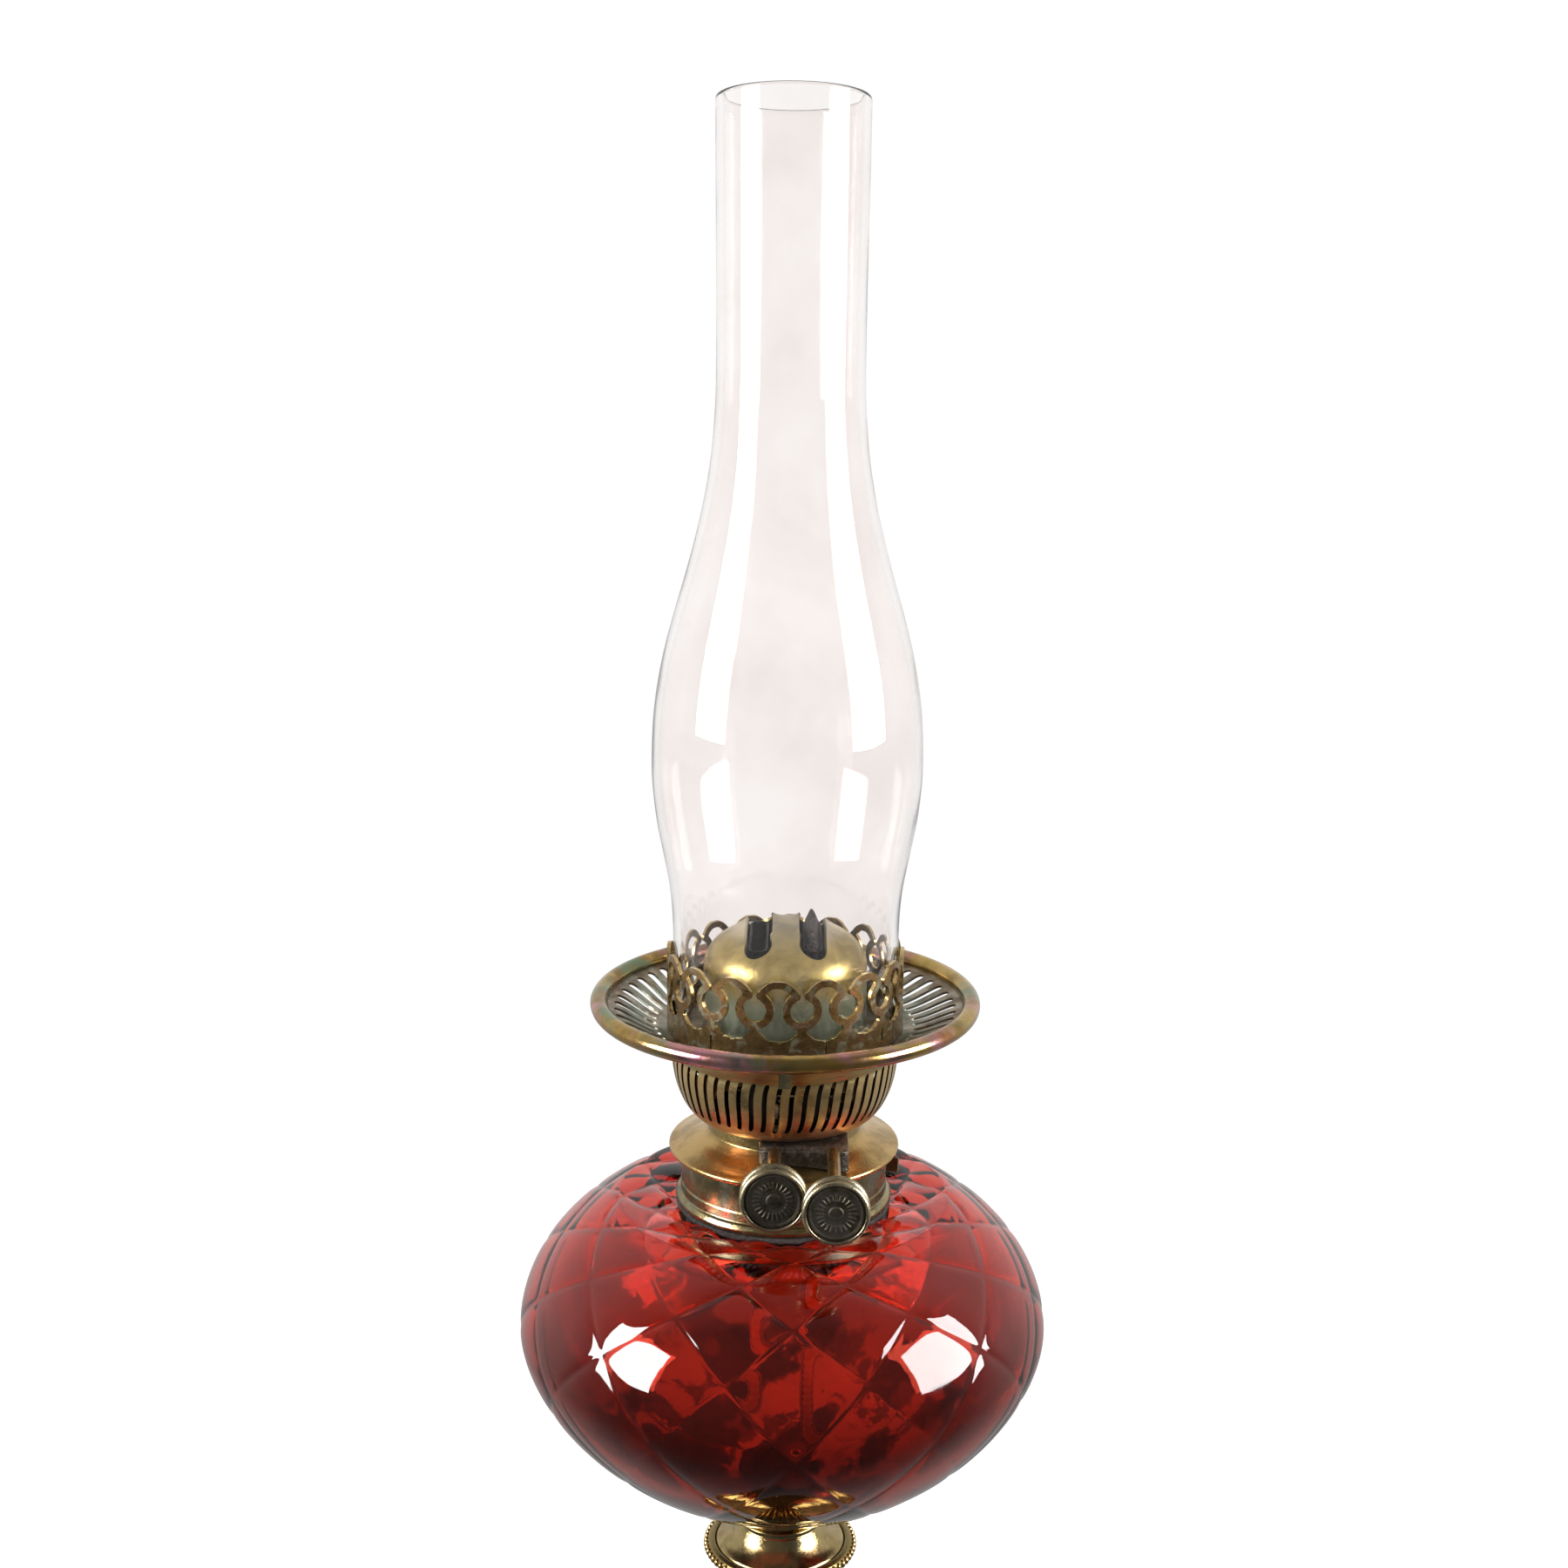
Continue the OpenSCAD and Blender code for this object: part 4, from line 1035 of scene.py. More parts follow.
        foot, top = self.neck_z - 2.5, self.neck_top_z - 1.1
        outline = [(self.neck_r + 0.1, foot), (30.0, foot + 0.5), (30.9, foot + 1.9), (30.7, foot + 3.0),
                   (28.4, foot + 3.0), (28.4, top), (self.neck_r + 0.1, top)]
        return turned(softened(outline, 0.3), 240, ragged)

    def build(self) -> None:
        """Place the glass and its cement."""
        place("font_quilted", self.shell(), RUBY, "stand", ["font_glass"], crease=62)
        place("collar_cement_ragged", self.cement(), CEMENT, "stand", ["collar_cement"])


@dataclass
class Burner:
    """Collar, flange, air basket and winders. Heights are from the table."""

    collar_r: float = 29.6
    collar_z: float = 324.49
    collar_h: float = 15.0
    lip_r: float = 26.5
    flange_r: float = 32.9
    flange_z: float = 340.69
    skirt_r: float = 25.0
    skirt_z: tuple[float, float] = (333.09, 343.2)
    lug_z: tuple[float, float] = (334.7, 336.5)
    lug_turn: float = 8.6
    neck_r: float = 21.9
    neck_z: float = 345.69
    basket_z: float = 350.69
    basket_r: float = 34.4
    basket_h: float = 24.0
    bowl_r: float = 32.2
    bowl_h: float = 20.0
    sheet: float = 0.7
    slots: int = 54
    slot_w: float = 1.35
    slot_z: tuple[float, float] = (354.6, 370.1)
    spindle_z: float = 347.79
    spindle_x: tuple[float, float] = (-2.6, 13.7)
    knob_reach: tuple[float, float] = (58.5, 66.0)
    knob_r: float = 9.0
    knob_t: float = 5.6
    ticks: int = 24

    def collar(self) -> Shell:
        """Return the collar: a beaded foot, a straight wall and an inward lip."""
        r, z, top = self.collar_r, self.collar_z, self.collar_z + self.collar_h
        line = chain([(r + 0.1, z)], flowing([(r + 0.9, z + 0.1), (r + 1.5, z + 1.4), (r + 0.8, z + 2.7)], 5),
                     [(r, z + 3.0), (r, z + 5.6), (r - 0.25, z + 6.0), (r - 0.25, top - 0.6),
                      (r - 0.9, top), (self.lip_r, top)])
        return turned(softened(walled(line, 1.0), 0.3))

    def flange(self) -> Shell:
        """Return the sloping flange with its rolled lip, the neck, the bayonet skirt and its two lugs."""
        lip, z = self.flange_r - 0.9, self.flange_z
        roll = np.radians(np.arange(-100, 80, 20))
        line = chain(np.column_stack([lip + 0.9 * np.cos(roll), z + 0.9 * np.sin(roll)]),
                     flowing([(lip - 1.2, z + 1.1), (28.0, z + 2.2), (25.0, z + 3.3),
                              (self.neck_r + 1.3, self.neck_z - 0.6)], 5),
                     [(self.neck_r, self.neck_z + 0.6), (self.neck_r, self.basket_z - self.sheet - 0.1)])
        r, (foot, top) = self.skirt_r, self.skirt_z
        skirt = [(r, foot), (r + self.sheet, foot), (r + self.sheet, top), (r, top + 0.1)]
        body = turned(softened(walled(line, self.sheet), 0.3))
        lugs = [arc_block((r + 0.3, r + 3.2), self.lug_z, (turn - self.lug_turn, turn + self.lug_turn))
                for turn in (0, 180)]
        return body.join(turned(softened(skirt, 0.15)), *lugs)

    def basket(self) -> Shell:
        """Return the basket's skin, cut by slots that hook one way at the top and the other at the foot.

        A slot's middle lies (2u - 1)^3 x 1.5 + (2u - 1) x 0.5 degrees off its own angle, u being the
        share of the slot's height, and its half width closes as a half circle at both ends.
        """
        foot_r, r, z0 = self.neck_r, self.bowl_r, self.basket_z - self.sheet
        rim_z = self.basket_z + self.basket_h - self.sheet
        curve = np.radians(np.linspace(0, 90, 22))
        bowl = np.column_stack([foot_r + (r - foot_r) * np.sin(curve),
                                z0 + self.bowl_h * (1 - np.cos(curve))])
        line = chain([(foot_r - self.sheet, z0)], bowl,
                     [(r + 0.5, rim_z - 3.1), (r + 0.85, rim_z - 2.8), (r + 0.8, rim_z - 2.3),
                      (self.basket_r, rim_z)])

        def keep(a: Array, radius: Array, z: Array) -> Array:
            """Return the distance from the nearest slot's edge."""
            low, high = self.slot_z
            u = np.clip((z - low) / (high - low), 0, 1)
            hook = np.radians(1.5 * (2 * u - 1) ** 3 + 0.5 * (2 * u - 1))
            side = np.abs(wrapped(a - hook, TAU / self.slots)) * radius
            half = self.slot_w / 2
            over = np.maximum(low + half - z, z - high + half)
            return np.where(over > 0, np.hypot(side, np.maximum(over, 0)), side) - half

        return pierced_round(line, self.slots * 12, 62, keep)

    def knob(self, side: int) -> Shell:
        """Return a winder's knob: two rolled rims with a hollow between, and a sunk face."""
        r, t, e = self.knob_r, self.knob_t, 1.1
        roll = np.radians(np.linspace(-90, 90, 9))
        rim = lambda z: np.column_stack([r - e + e * np.cos(roll), z + e * np.sin(roll)])
        outline = chain([(0, 0), (r - 1.8, 0)], rim(e), [(r - 0.75, t * 0.5)], rim(t - e),
                        [(7.75, t - 0.3), (7.6, t - 1.2), (0, t - 1.2)])
        shell = turned(softened(outline, 0.2), 96)
        shell.points[:, 2] += self.knob_reach[side] - t
        return shell.along_y(self.spindle_x[side], self.spindle_z)

    def plate(self, side: int) -> Shell:
        """Return the disc in a knob's face: a boss, a ring and a circle of plain ticks in low relief."""
        r = np.linspace(7.5, 0, 34)
        height = 0.45 + 0.22 * eased(r, 6.5, 6.8) * eased(-r, -7.3, -7.1) + 0.28 * eased(-r, -2.0, -1.7)
        shell = turned(np.vstack([[(0.0, 0.0), (7.5, 0.0)], np.column_stack([r, height])]))
        x, y, z = shell.points.T
        angle, reach = np.arctan2(y, x), np.hypot(x, y)
        mark = eased(-np.abs(wrapped(angle, TAU / self.ticks)) * reach, -0.42, -0.22)
        mark = mark * eased(reach, 3.3, 3.5) * eased(-reach, -5.5, -5.3)
        shell.points[:, 2] = z + 0.2 * mark * (z > 0.1) + self.knob_reach[side] - 1.1
        return shell.along_y(self.spindle_x[side], self.spindle_z)

    def box(self) -> Shell:
        """Return the winder box: a closed block with eased corners, hollowed at the back to the neck.

        Its plan runs from the neck at the back to a flat front, its under side follows the flange,
        and every wall is a grid whose corners are drawn in by a superellipse.
        """
        x0, x1 = self.spindle_x[0] - 4.3, self.spindle_x[1] + 4.3
        u = np.linspace(0, 1, 33)
        front = -27.0 + 1.1 * np.abs(2 * u - 1) ** 8
        xs = x0 + (x1 - x0) * u
        back = -np.sqrt((self.neck_r + 0.1) ** 2 - xs**2)
        v = np.linspace(0, 1, 13)[:, None]
        y = back + (front - back) * v + 0 * xs
        x = xs + 0 * y
        reach = np.hypot(x, y)
        low = np.maximum(np.interp(reach, [22.0, 23.4, self.flange_r, 37], [346.7, 345.9, 341.7, 340.3]), 0)
        droop = eased(v, 0.6, 1.0) ** 2 + 0.5 * np.abs(2 * u - 1) ** 6
        top = self.basket_z - self.sheet - 0.1 - droop
        return closed_slab(np.stack([x, y, low], -1), np.stack([x, y, top + 0 * x], -1))

    def build(self) -> None:
        """Place the collar, the burner's shell and the winders' knobs."""
        # the collar's finish carries painted reflections and painted shade under the flange
        place("font_collar_spun", self.collar(), COLLAR_BRASS_PAINTED_SHADE_REFLECTION, "stand", ["font_collar"])
        place("burner_flange_spun", self.flange(), FLANGE_BRASS, "burner", ["burner_flange"])
        # the basket's cut edges carry painted shade
        place("air_basket_pierced", self.basket(), BASKET_BRASS, "burner", ["air_basket"],
              sheet=self.sheet, edge=0.1, rim=BASKET_EDGE_SHADE)
        place("winder_box_soldered", self.box(), BOX_BRASS, "burner", ["winder_box"],
              edge=0.5, crease=50)
        for side, hand in enumerate(("left", "right")):
            at = (self.spindle_x[side], self.spindle_z)
            knob = Metal(f"knob_brass_{hand}", (172, 160, 132), (126, 114, 88), (0.24, 0.46), cloud=4.0,
                         cover=0.54, axis=at, stains_and_shading=(patches((104, 96, 82), 0.5, 2.5, 0.36),))
            face = Metal(f"knob_face_{hand}", (80, 74, 62), (58, 54, 48), (0.4, 0.62), cloud=4.0, cover=0.5,
                         axis=at, stains_and_shading=(patches((112, 104, 88), 0.35, 1.6, 0.34),), pits=0.03, patina=0.3)
            body = f"winder_{hand}"
            place(f"winder_knob_turned_{hand}", self.knob(side), knob, body, [f"winder_knob_{hand}"])
            place(f"knob_face_{hand}", self.plate(side), face, body, [f"knob_plate_{hand}"])


def closed_slab(low: Array, high: Array) -> Shell:
    """Close two grids of the same shape into a block, low facing down and high facing up.

    Args:
        low: rows by columns by 3, the under face, whose rows run towards -Y and columns towards +X.
        high: the top face, point for point above it.

    Returns:
        The closed block.
    """
    rows, cols = low.shape[:2]
    points = np.vstack([low.reshape(-1, 3), high.reshape(-1, 3)])
    n = rows * cols
    under = grid_faces(rows, cols, cols_close=False)
    rim = np.concatenate([np.arange(cols), np.arange(2, rows) * cols - 1, [n - 1],
                          n - 2 - np.arange(cols - 1), np.arange(rows - 2, 0, -1) * cols])
    after = np.roll(rim, -1)
    sides = np.column_stack([after, rim, rim + n, after + n])
    return Shell(points, [under, n + under[:, [0, 3, 2, 1]], sides])


@dataclass
class Wicks:
    """The two wicks: cotton tapes with burnt tops, the left hollowed and the right drawn to a point."""

    x: float = 7.5
    width: float = 28.0
    thick: float = 3.6
    foot_z: float = 252.8
    tops: tuple[float, float] = (403.89, 409.69)
    # painted shade: the left wick's ash is far darker than the right's, standing in for the shade down in its
    # flame slot
    ash_and_shade_tones: tuple[Tone, Tone] = ((34, 30, 30), (84, 74, 72))
    around: int = 72

    def tape(self, side: int) -> Shell:
        """Work out one tape as a stack of rounded sections.

        A section's point at angle b is (thick/2 |cos b|^p, width/2 |sin b|^q) with their signs. The
        top is let down by a law of the share along the width and across the thickness.
        """
        top = self.tops[side]
        z = np.concatenate([np.linspace(self.foot_z, top - 18, 40), np.linspace(top - 17.5, top, 36)])
        b = np.arange(self.around) * TAU / self.around
        cx = np.sign(np.cos(b)) * np.abs(np.cos(b)) ** 0.6
        cy = np.sign(np.sin(b)) * np.abs(np.sin(b)) ** 0.25
        burn = eased(z, top - 11, top - 2)[:, None]
        swell = 1 + (0.35 if side else 0.1) * burn * np.sin(np.pi * eased(z, top - 14, top + 6))[:, None]
        fray = 0.16 * burn * np.sin(11 * b + 0.9 * z[:, None]) * np.sin(5 * b + 2.0)
        x = (self.thick / 2) * cx * swell + fray
        y = (self.width / 2) * cy * (1 - 0.04 * burn) + 0 * x
        inward = np.array([1.0, 0.82, 0.55, 0.25, 0.0])
        caps_x, caps_y = x[-1] * inward[1:, None], y[-1] * inward[1:, None]
        xx, yy = np.vstack([x, caps_x]), np.vstack([y, caps_y])
        zz = np.repeat(np.concatenate([z, np.full(4, top)])[:, None], self.around, 1)
        share_x, share_y = xx / (self.thick / 2), yy / (self.width / 2)
        if side:
            drop = 3.2 * np.abs(share_x + 0.1) ** 1.5 + 3.4 * np.abs(share_y - 0.1) ** 1.2
        else:
            drop = 4.6 + 1.2 * share_y**2 + 0.5 * np.sin(3.1 * share_y + 1.0) + 1.8 * (1 - share_x**2)
        crumbs = 0.25 * burn[-1] * np.sin(9 * share_y + 4 * share_x) * (zz > top - 1)
        zz = np.minimum(zz - np.clip(drop, 0, 9) * eased(zz, top - 12, top) + crumbs, top)
        middle = self.x if side else -self.x
        points = np.stack([xx + middle, yy, zz], -1)
        foot = np.array([[[middle, 0.0, self.foot_z]]]) + 0 * points[:1]
        grid = np.vstack([foot, points])
        return Shell(grid.reshape(-1, 3), [grid_faces(len(grid), self.around)])

    def build(self) -> None:
        """Place both wicks."""
        for side, hand in enumerate(("left", "right")):
            cotton = WickCotton(f"wick_cotton_{hand}", self.tops[side], ash=self.ash_and_shade_tones[side])
            place(f"wick_tape_{hand}", self.tape(side), cotton, f"wick_strip_{hand}", [f"wick_{hand}"],
                  crease=80)


@dataclass
class Gallery:
    """Tray with the shade ring, skirt, pierced coronet and flame dome. Heights are from the table."""

    floor_z: float = 376.19
    sheet: float = 0.7
    hub_r: float = 21.8
    tray_foot_r: float = 34.8
    tray_top_r: float = 50.4
    ring_z: float = 383.69
    ring_r: float = 52.5
    bead_r: float = 2.5
    slots: int = 54
    slot_share: float = 0.48
    skirt_r: float = 31.1
    skirt_z: tuple[float, float] = (370.9, 375.39)
    coronet_r: float = 33.4
    coronet_wall: float = 1.1
    coronet_h: float = 23.4
    units: int = 16
    unit_turn: float = 8.1
    ring_mid_r: float = 4.33
    ring_half_w: float = 1.02
    strip_half_w: float = 0.95
    slits: tuple[float, ...] = (-36.9, 19.4, 53.1, 98.0, 142.0, 187.0, 233.0, 278.0)
    dome_r: float = 23.4
    dome_skirt_h: float = 18.5
    dome_cap_h: float = 12.2
    dome_power: float = 2.3
    lip_h: float = 1.1
    wick_x: float = 7.5
    flame_w: float = 7.5
    flame_l: float = 36.0

    def tray(self) -> Shell:
        """Return the tray's skin, from the bead's inner side down to the hub, cut by swept slots."""
        z0, z1 = self.floor_z - self.sheet, self.ring_z - 0.6 - self.sheet
        line = chain([(self.hub_r, z0), (self.tray_foot_r - 0.9, z0)],
                     flowing([(self.tray_foot_r, z0 + 0.1), (self.tray_foot_r + 5, z0 + 2.0),
                              (self.tray_top_r - 4, z1 - 1.5), (self.tray_top_r + 0.2, z1)], 6))
        low, high = self.tray_foot_r + 1.6, self.tray_top_r - 1.8

        def keep(a: Array, r: Array, z: Array) -> Array:
            """Return the distance from the nearest slot's edge; a slot sweeps 4.5 degrees as it goes in."""
            u = np.clip((r - low) / (high - low), 0, 1)
            sweep = np.radians(4.5 * (1 - u) ** 1.6)
            side = np.abs(wrapped(a - sweep, TAU / self.slots)) * r * 0.94
            half = self.slot_share / 2 * TAU / self.slots * r * 0.94
            over = np.maximum(low + half - r, r - high + half)
            return np.where(over > 0, np.hypot(side, np.maximum(over, 0)), side) - half

        return pierced_round(line, self.slots * 12, 44, keep)

    def coronet(self) -> Shell:
        """Return the coronet's skin.

        Round each unit's middle the metal is a ring, an arch on each side that climbs from the ring's
        shoulder to the middle between two rings, a stem under the ring and a band whose upper edge is
        cusped. Each is a distance to a circle or to a line of points, less half a strip's width.
        """
        z0, pitch = self.floor_z + 0.1, TAU / self.units
        top, mid_z = z0 + self.coronet_h, z0 + 15.2
        reach = self.coronet_r * pitch / 2
        arch = flowing([(1.5, 4.1), (2.4, 5.1), (3.6, 6.35), (5.2, 7.2), (reach, 7.3),
                        (reach + 1.6, 7.25)], 6)
        line = np.array([(self.coronet_r, z0), (self.coronet_r, top)])

        def keep(a: Array, r: Array, z: Array) -> Array:
            """Return how far inside the metal a place lies."""
            front = a + np.pi / 2
            x = np.abs(wrapped(front - math.radians(self.unit_turn), pitch)) * self.coronet_r
            y = z - mid_z
            ring = self.ring_half_w - np.abs(np.hypot(x, y) - self.ring_mid_r)
            ring = np.minimum(ring, np.maximum(x - 0.75, -y))
            strip = np.full(x.shape, 9.0)
            for p, q in zip(arch[:-1], arch[1:]):
                d = q - p
                t = np.clip(((x - p[0]) * d[0] + (y - p[1]) * d[1]) / (d @ d), 0, 1)
                strip = np.minimum(strip, np.hypot(x - p[0] - t * d[0], y - p[1] - t * d[1]))
            strip = self.strip_half_w - strip
            stem = np.minimum(1.25 - x + 0.5 * np.clip(-y - 6.2, 0, 2), np.minimum(-4.6 - y, y + 9))
            brow = -6.6 - 1.9 * eased(x, 1.2, 4.2) - 0.5 * eased(x, 4.6, reach)
            band = brow - y
            cut = np.min([np.abs(wrapped(front - math.radians(s), TAU)) for s in self.slits], axis=0) * r
            band = np.minimum(band, np.maximum(cut - 0.32, -y - 13.6))
            metal = np.max([ring, strip, stem, band], axis=0)
            return np.minimum(metal, np.minimum(top - z + 1e-3, z - z0 + 1e-3))

        return pierced_round(line, self.units * 36, 58, keep)

    def dome(self) -> Shell:
        """Return the dome's skin with its two flame slots.

        The cap's outline is a superellipse of dome_power. Within a millimetre or two of a slot's long
        side the metal is lifted, which turns the slots' edges up into lips.
        """
        z1 = self.floor_z + self.dome_skirt_h
        c = np.linspace(0, np.pi / 2, 40)
        curve = 2 / self.dome_power
        foot_r, r, z0 = self.dome_r, self.dome_r - 0.35, self.floor_z
        cap = np.column_stack([r * np.cos(c) ** curve,
                               z1 - 1 + (self.dome_cap_h + 0.9) * np.sin(c) ** curve])
        line = chain([(foot_r, z0 + 0.1), (foot_r, z0 + 2.2), (r, z0 + 2.8), (r, z1 - 5)], cap)
        line[-1, 0] = 0.02

        def gap(x: Array, y: Array) -> Array:
            """Return the distance in plan from the nearest flame slot's edge, negative inside it."""
            half = self.flame_w / 2
            end = np.maximum(np.abs(y) - (self.flame_l / 2 - half), 0)
            return np.hypot(np.abs(x) - self.wick_x, end) - half

        def keep(a: Array, r: Array, z: Array) -> Array:
            """Return the slot distance on the cap, and plain metal on the skirt."""
            return np.where(z > z1 - 4, gap(r * np.cos(a), r * np.sin(a)), 1.0)

        shell = pierced_round(line, 288, 110, keep)
        x, y, z = shell.points.T
        lift = np.exp(-np.clip(gap(x, y), 0, None) / 1.1) * eased(-np.abs(y), -17.0, -11.0) * (z > z1)
        shell.points[:, 2] = np.minimum(z + self.lip_h * lift, z1 + self.dome_cap_h)
        return shell

    def build(self) -> None:
        """Place the gallery's pieces."""
        skirt = turned(softened(walled([(self.skirt_r, z) for z in self.skirt_z], self.sheet), 0.2))
        bead = wire_ring(self.ring_r, self.bead_r, self.ring_z, 240, 32)
        place("gallery_tray_pierced", self.tray(), TRAY_BRASS, "gallery", ["gallery_tray"],
              sheet=self.sheet, edge=0.12)
        place("shade_ring_bead", bead, BEAD_BRASS, "gallery", ())
        place("gallery_skirt_band", skirt, SKIRT_BRASS, "gallery", ["gallery_skirt"])
        # the coronet's cut edges carry a painted highlight
        place("coronet_pierced", self.coronet(), CORONET_BRASS, "gallery", ["coronet"],
              sheet=self.coronet_wall, edge=0.14, rim=CORONET_EDGE_HIGHLIGHT)
        place("flame_dome_slotted", self.dome(), DOME_BRASS, "gallery", ["flame_dome"],
              sheet=0.8, edge=0.16)


@dataclass
class Chimney:
    """The blown glass chimney. Heights are from its foot."""

    foot_z: float = 376.29
    foot_r: float = 32.2
    top_r: float = 20.4
    length: float = 252.4
    wall: float = 2.0
    lip_tilt: float = 2.5

    def shell(self) -> Shell:
        """Return the chimney: foot, bulge and funnel drawn smoothly, with a fire-rounded lip.

        The radius is let in and out by a few hundredths by slow waves of angle and height, and the
        lip, cut a little askew, falls by lip_tilt x y over its radius towards the back.
        """
        line = flowing([(self.foot_r, 0.0), (self.foot_r - 0.25, 14), (self.foot_r - 0.4, 28), (32.5, 39.5),
                        (34.3, 50), (36.2, 60), (37.3, 70), (37.5, 77.5), (37.1, 88), (35.9, 98),
                        (33.8, 108.5), (31.1, 118.5), (28.2, 128.5), (25.6, 138), (23.4, 147.5), (21.7, 157),
                        (20.7, 166), (20.05, 177), (19.95, 192), (20.1, 215), (20.3, 235),
                        (self.top_r, self.length - 3)], 5)
        lip = np.radians(np.linspace(0, 180, 11))
        half_wall = self.wall / 2
        outline = walled(line, self.wall)
        half = len(line)
        over = np.column_stack([self.top_r - half_wall + half_wall * np.cos(lip),
                                self.length - 1.05 + np.sin(lip)])
        outline = np.vstack([outline[:half], over, outline[half:]])

        def waves(a: Array, r: Array, z: Array) -> Array:
            """Return the blown glass's slight unevenness, never outwards."""
            return -0.05 * (1 + np.sin(2 * a + z / 31)) - 0.03 * (1 + np.sin(3 * a - z / 17))

        shell = turned(softened(outline, 0.5, turn=40), 160, waves)
        y, z = shell.points[:, 1], shell.points[:, 2]
        near_lip = eased(z, self.length - 45, self.length - 2)
        shell.points[:, 2] = z - (0.2 + self.lip_tilt * y / self.top_r) * near_lip
        return shell.raised(self.foot_z)

    def build(self) -> None:
        """Place the chimney."""
        place("chimney_blown", self.shell(), CLEAR, "chimney", ["chimney_glass"], crease=70)


DRESS: dict[str, Finish] = {
    "foot_weight": IRON, "tie_rod": STEEL, "tie_nut": STEEL, "tie_washer": STEEL, "peg_cement": PLASTER,
    "bayonet_catch": AGED_BRASS, "tube_plate": AGED_BRASS, "spindle_bearing": AGED_BRASS,
    "wick_tube_left": SOOTY_BRASS, "wick_tube_right": SOOTY_BRASS, "gallery_tab": SKIRT_BRASS,
    "winder_spindle_left": AGED_BRASS, "winder_spindle_right": AGED_BRASS,
    "wick_wheels_left": STEEL, "wick_wheels_right": STEEL,
}


def dress_nodes() -> None:
    """Give the carried-over parts listed in DRESS their finishes, and warn of any shown part left without
    one.
    """
    shown = {piece["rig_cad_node"]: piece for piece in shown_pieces() if "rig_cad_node" in piece}
    for node, finish in DRESS.items():
        for slot in shown[node].material_slots:
            slot.material = finish.material()
        if not shown[node].material_slots:
            shown[node].data.materials.append(finish.material())
        LOG.info("%-24s dressed as %s", node, finish.name)
    for node in sorted(set(shown) - set(DRESS)):
        LOG.warning("%s has no finish of its own", node)


# ---------------------------------------------------------------- the room


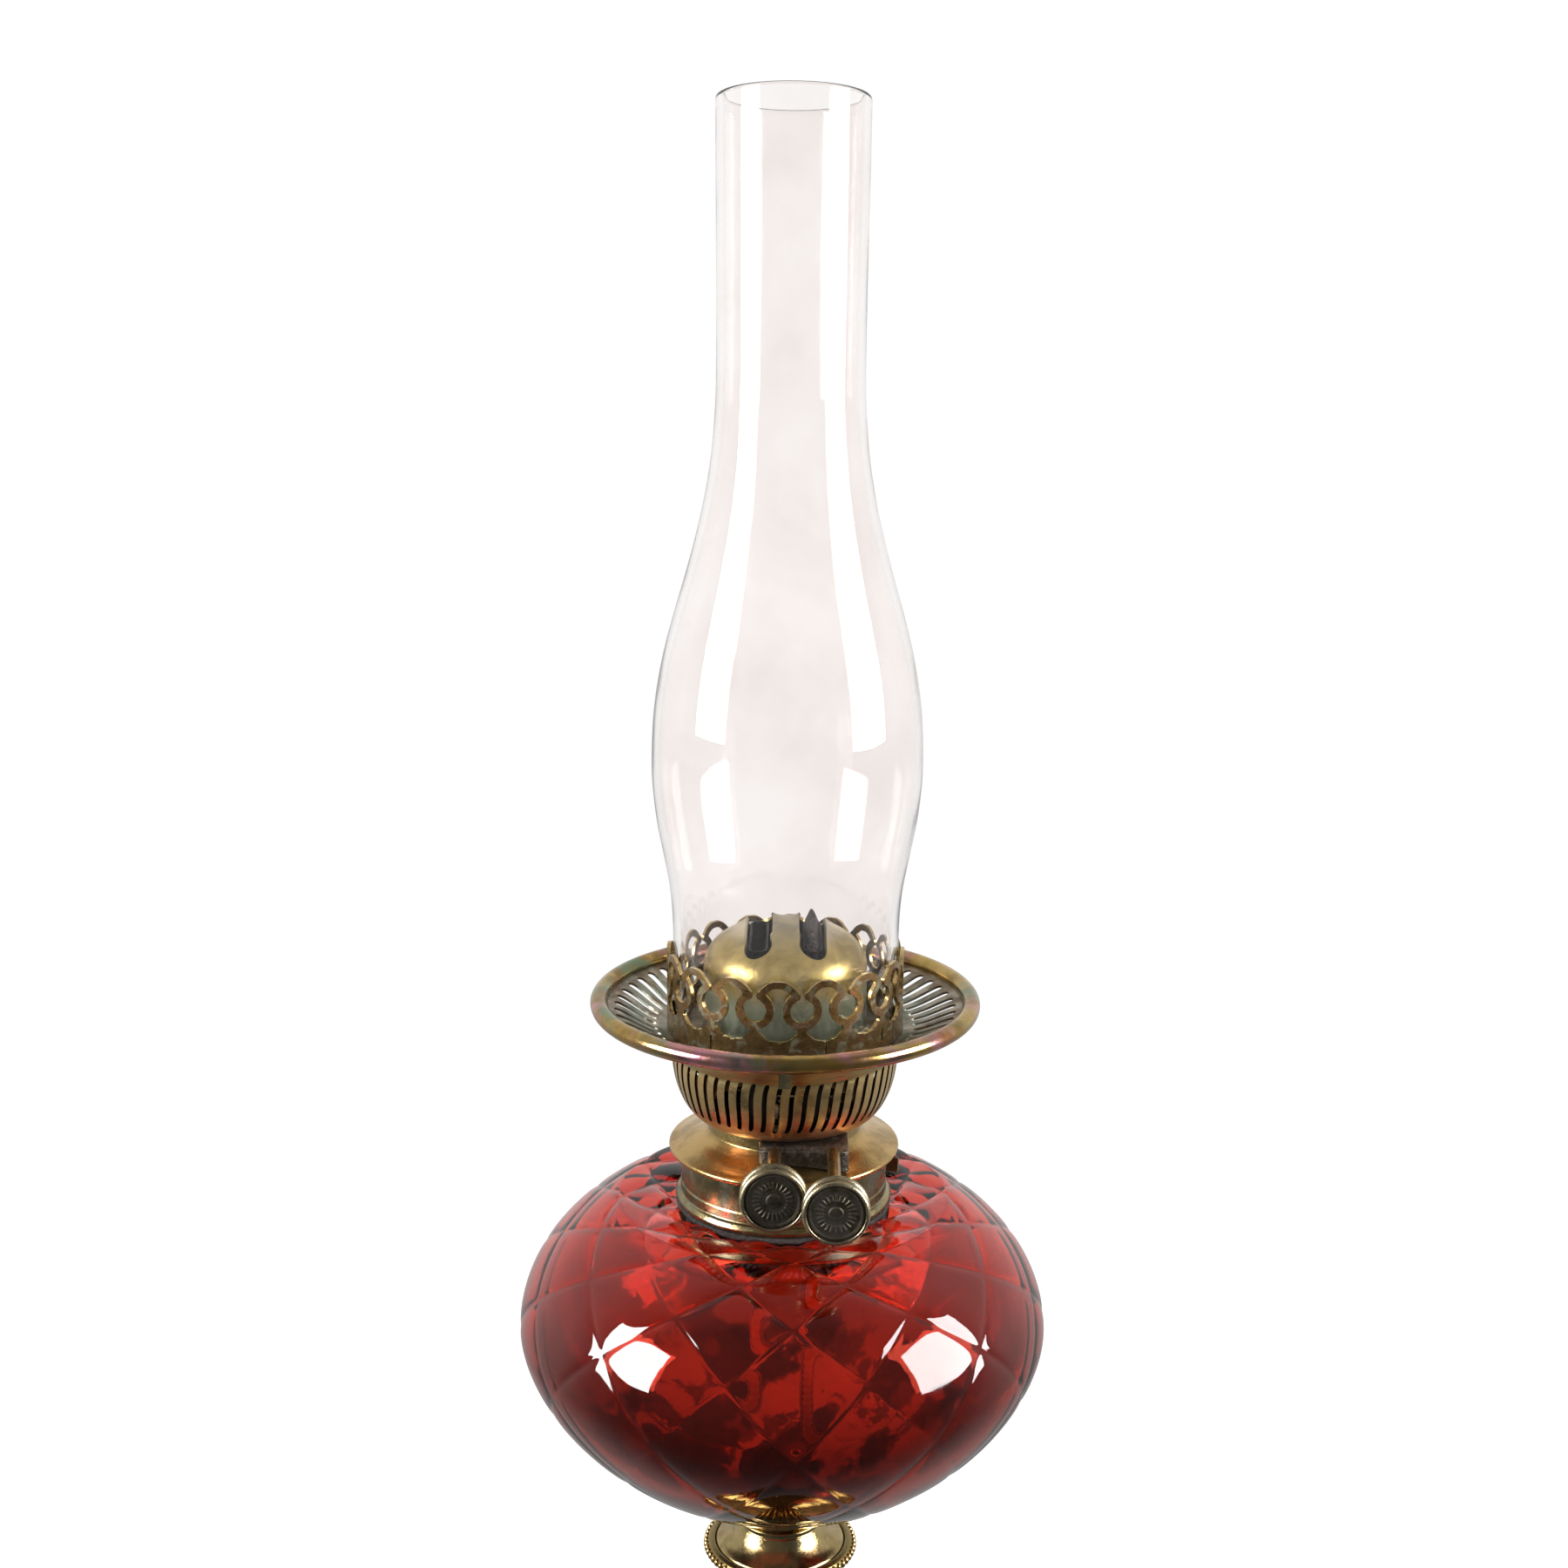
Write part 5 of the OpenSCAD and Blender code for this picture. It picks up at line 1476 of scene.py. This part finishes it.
@dataclass
class Studio:
    """Camera, floor, sky and two soft boxes. Places are in metres."""

    eye: tuple[float, float, float] = (0.0, -0.59597, 0.58799)
    pitch: float = 76.623
    roll: float = 0.55
    lens: float = 50.85
    shift: float = -0.00206
    floor_half: float = 0.8
    floor_tone: Tone = (156, 156, 156)
    floor_glow: float = 0.7
    room_levels: Line = ((0.0, 0.1), (0.3, 0.15), (0.46, 0.36), (0.62, 0.85), (1.0, 1.0))
    boxes: tuple[tuple[str, float, float, tuple[float, float], float], ...] = (
        ("soft_box_left", -68.0, 0.68, (0.6, 0.64), 28.0), ("soft_box_right", 73.0, 0.68, (0.68, 0.7), 29.0))

    def camera(self) -> None:
        """Stand the camera in front of the lamp, looking slightly down."""
        data = bpy.data.cameras.new("camera")
        data.lens, data.sensor_width, data.shift_x = self.lens, 36.0, self.shift
        data.clip_start, data.clip_end = 0.02, 60.0
        camera = stand_up("camera", data)
        pitch, roll = math.radians(self.pitch), math.radians(self.roll)
        camera.matrix_world = (Matrix.Translation(self.eye) @ Matrix.Rotation(pitch, 4, "X")
                               @ Matrix.Rotation(roll, 4, "Z"))
        bpy.context.scene.camera = camera

    def floor(self) -> None:
        """Lay a plain pale floor."""
        mesh = bpy.data.meshes.new("floor")
        half = self.floor_half
        corners = [(-half, -half, 0), (half, -half, 0), (half, half, 0), (-half, half, 0)]
        mesh.from_pydata(corners, [], [(0, 1, 2, 3)])
        paper = Graph("floor_paper").set(Base_Color=linear(self.floor_tone), Roughness=0.9,
                                         Emission_Color=(1, 1, 1, 1), Emission_Strength=self.floor_glow)
        mesh.materials.append(paper)
        floor = stand_up("floor", mesh)
        floor.visible_glossy = False
        floor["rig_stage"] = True

    def sky(self) -> None:
        """Light the room: white behind the lamp and to its sides, darker on the camera's side.

        What is seen directly or through glass is plain white. What is mirrored follows the direction:
        pale all round the back, fading to a dim room at the front and below.
        """
        world = bpy.data.worlds.new("room")
        tree = Tree(world)
        way = tree.node("SeparateXYZ", {0: tree.node("TexCoord", {}).outputs["Generated"]}).outputs
        turn = tree.node("MapRange", {0: way[1], 1: -1.0, 2: 1.0}).outputs[0]
        room = tree.node("ValToRGB", {0: turn})
        fill_ramp(room, [(at, (level, level * 0.99, level * 0.97, 1)) for at, level in self.room_levels])
        strength = tree.node("MapRange", {0: way[2], 1: -0.5, 2: 0.0, 3: 0.42, 4: 0.9}).outputs[0]
        mirrored = tree.node("Background", {0: room.outputs[0], 1: strength}).outputs[0]
        plain = tree.node("Background", {0: (1, 1, 1, 1), 1: 1.02}).outputs[0]
        path = tree.node("LightPath", {}).outputs
        seen = tree.node("Math", {0: path["Is Camera Ray"], 1: path["Is Transmission Ray"]},
                         operation="ADD", use_clamp=True).outputs[0]
        both = tree.node("MixShader", {0: seen, 1: mirrored, 2: plain}).outputs[0]
        tree.node("OutputWorld", {0: both})
        bpy.context.scene.world = world

    def soft_box(self, name: str, azimuth: float, height: float, size: tuple[float, float], power: float,
                 distance: float = 1.15, aim: float = 0.4) -> None:
        """Hang an area light.

        Args:
            name: the light's name.
            azimuth: degrees from the camera's side, positive to the right.
            height: how high it hangs.
            size: its width and height.
            power: its watts.
            distance: how far it stands from the lamp's axis.
            aim: the height it is turned towards.
        """
        data = bpy.data.lights.new(name, "AREA")
        data.shape, data.size, data.size_y, data.energy = "RECTANGLE", size[0], size[1], power
        light = stand_up(name, data)
        a = math.radians(azimuth)
        light.location = (distance * math.sin(a), -distance * math.cos(a), height)
        light.rotation_euler = (Vector((0, 0, aim)) - light.location).to_track_quat("-Z", "Y").to_euler()

    def build(self) -> None:
        """Set the room up."""
        self.camera()
        self.floor()
        self.sky()
        for box in self.boxes:
            self.soft_box(*box)
        view = bpy.context.scene.view_settings
        view.view_transform, view.look, view.exposure, view.gamma = "Standard", "None", 0.0, 1.0


def main() -> None:
    """Load the frame, build the lamp in its room and dress the carried-over parts."""
    logging.basicConfig(level=logging.INFO, format="%(message)s")
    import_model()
    Studio().build()
    for part in (Stand(), Font(), Burner(), Wicks(), Gallery(), Chimney()):
        LOG.info("building %s", type(part).__name__)
        part.build()
    dress_nodes()


if __name__ == "__main__":
    main()
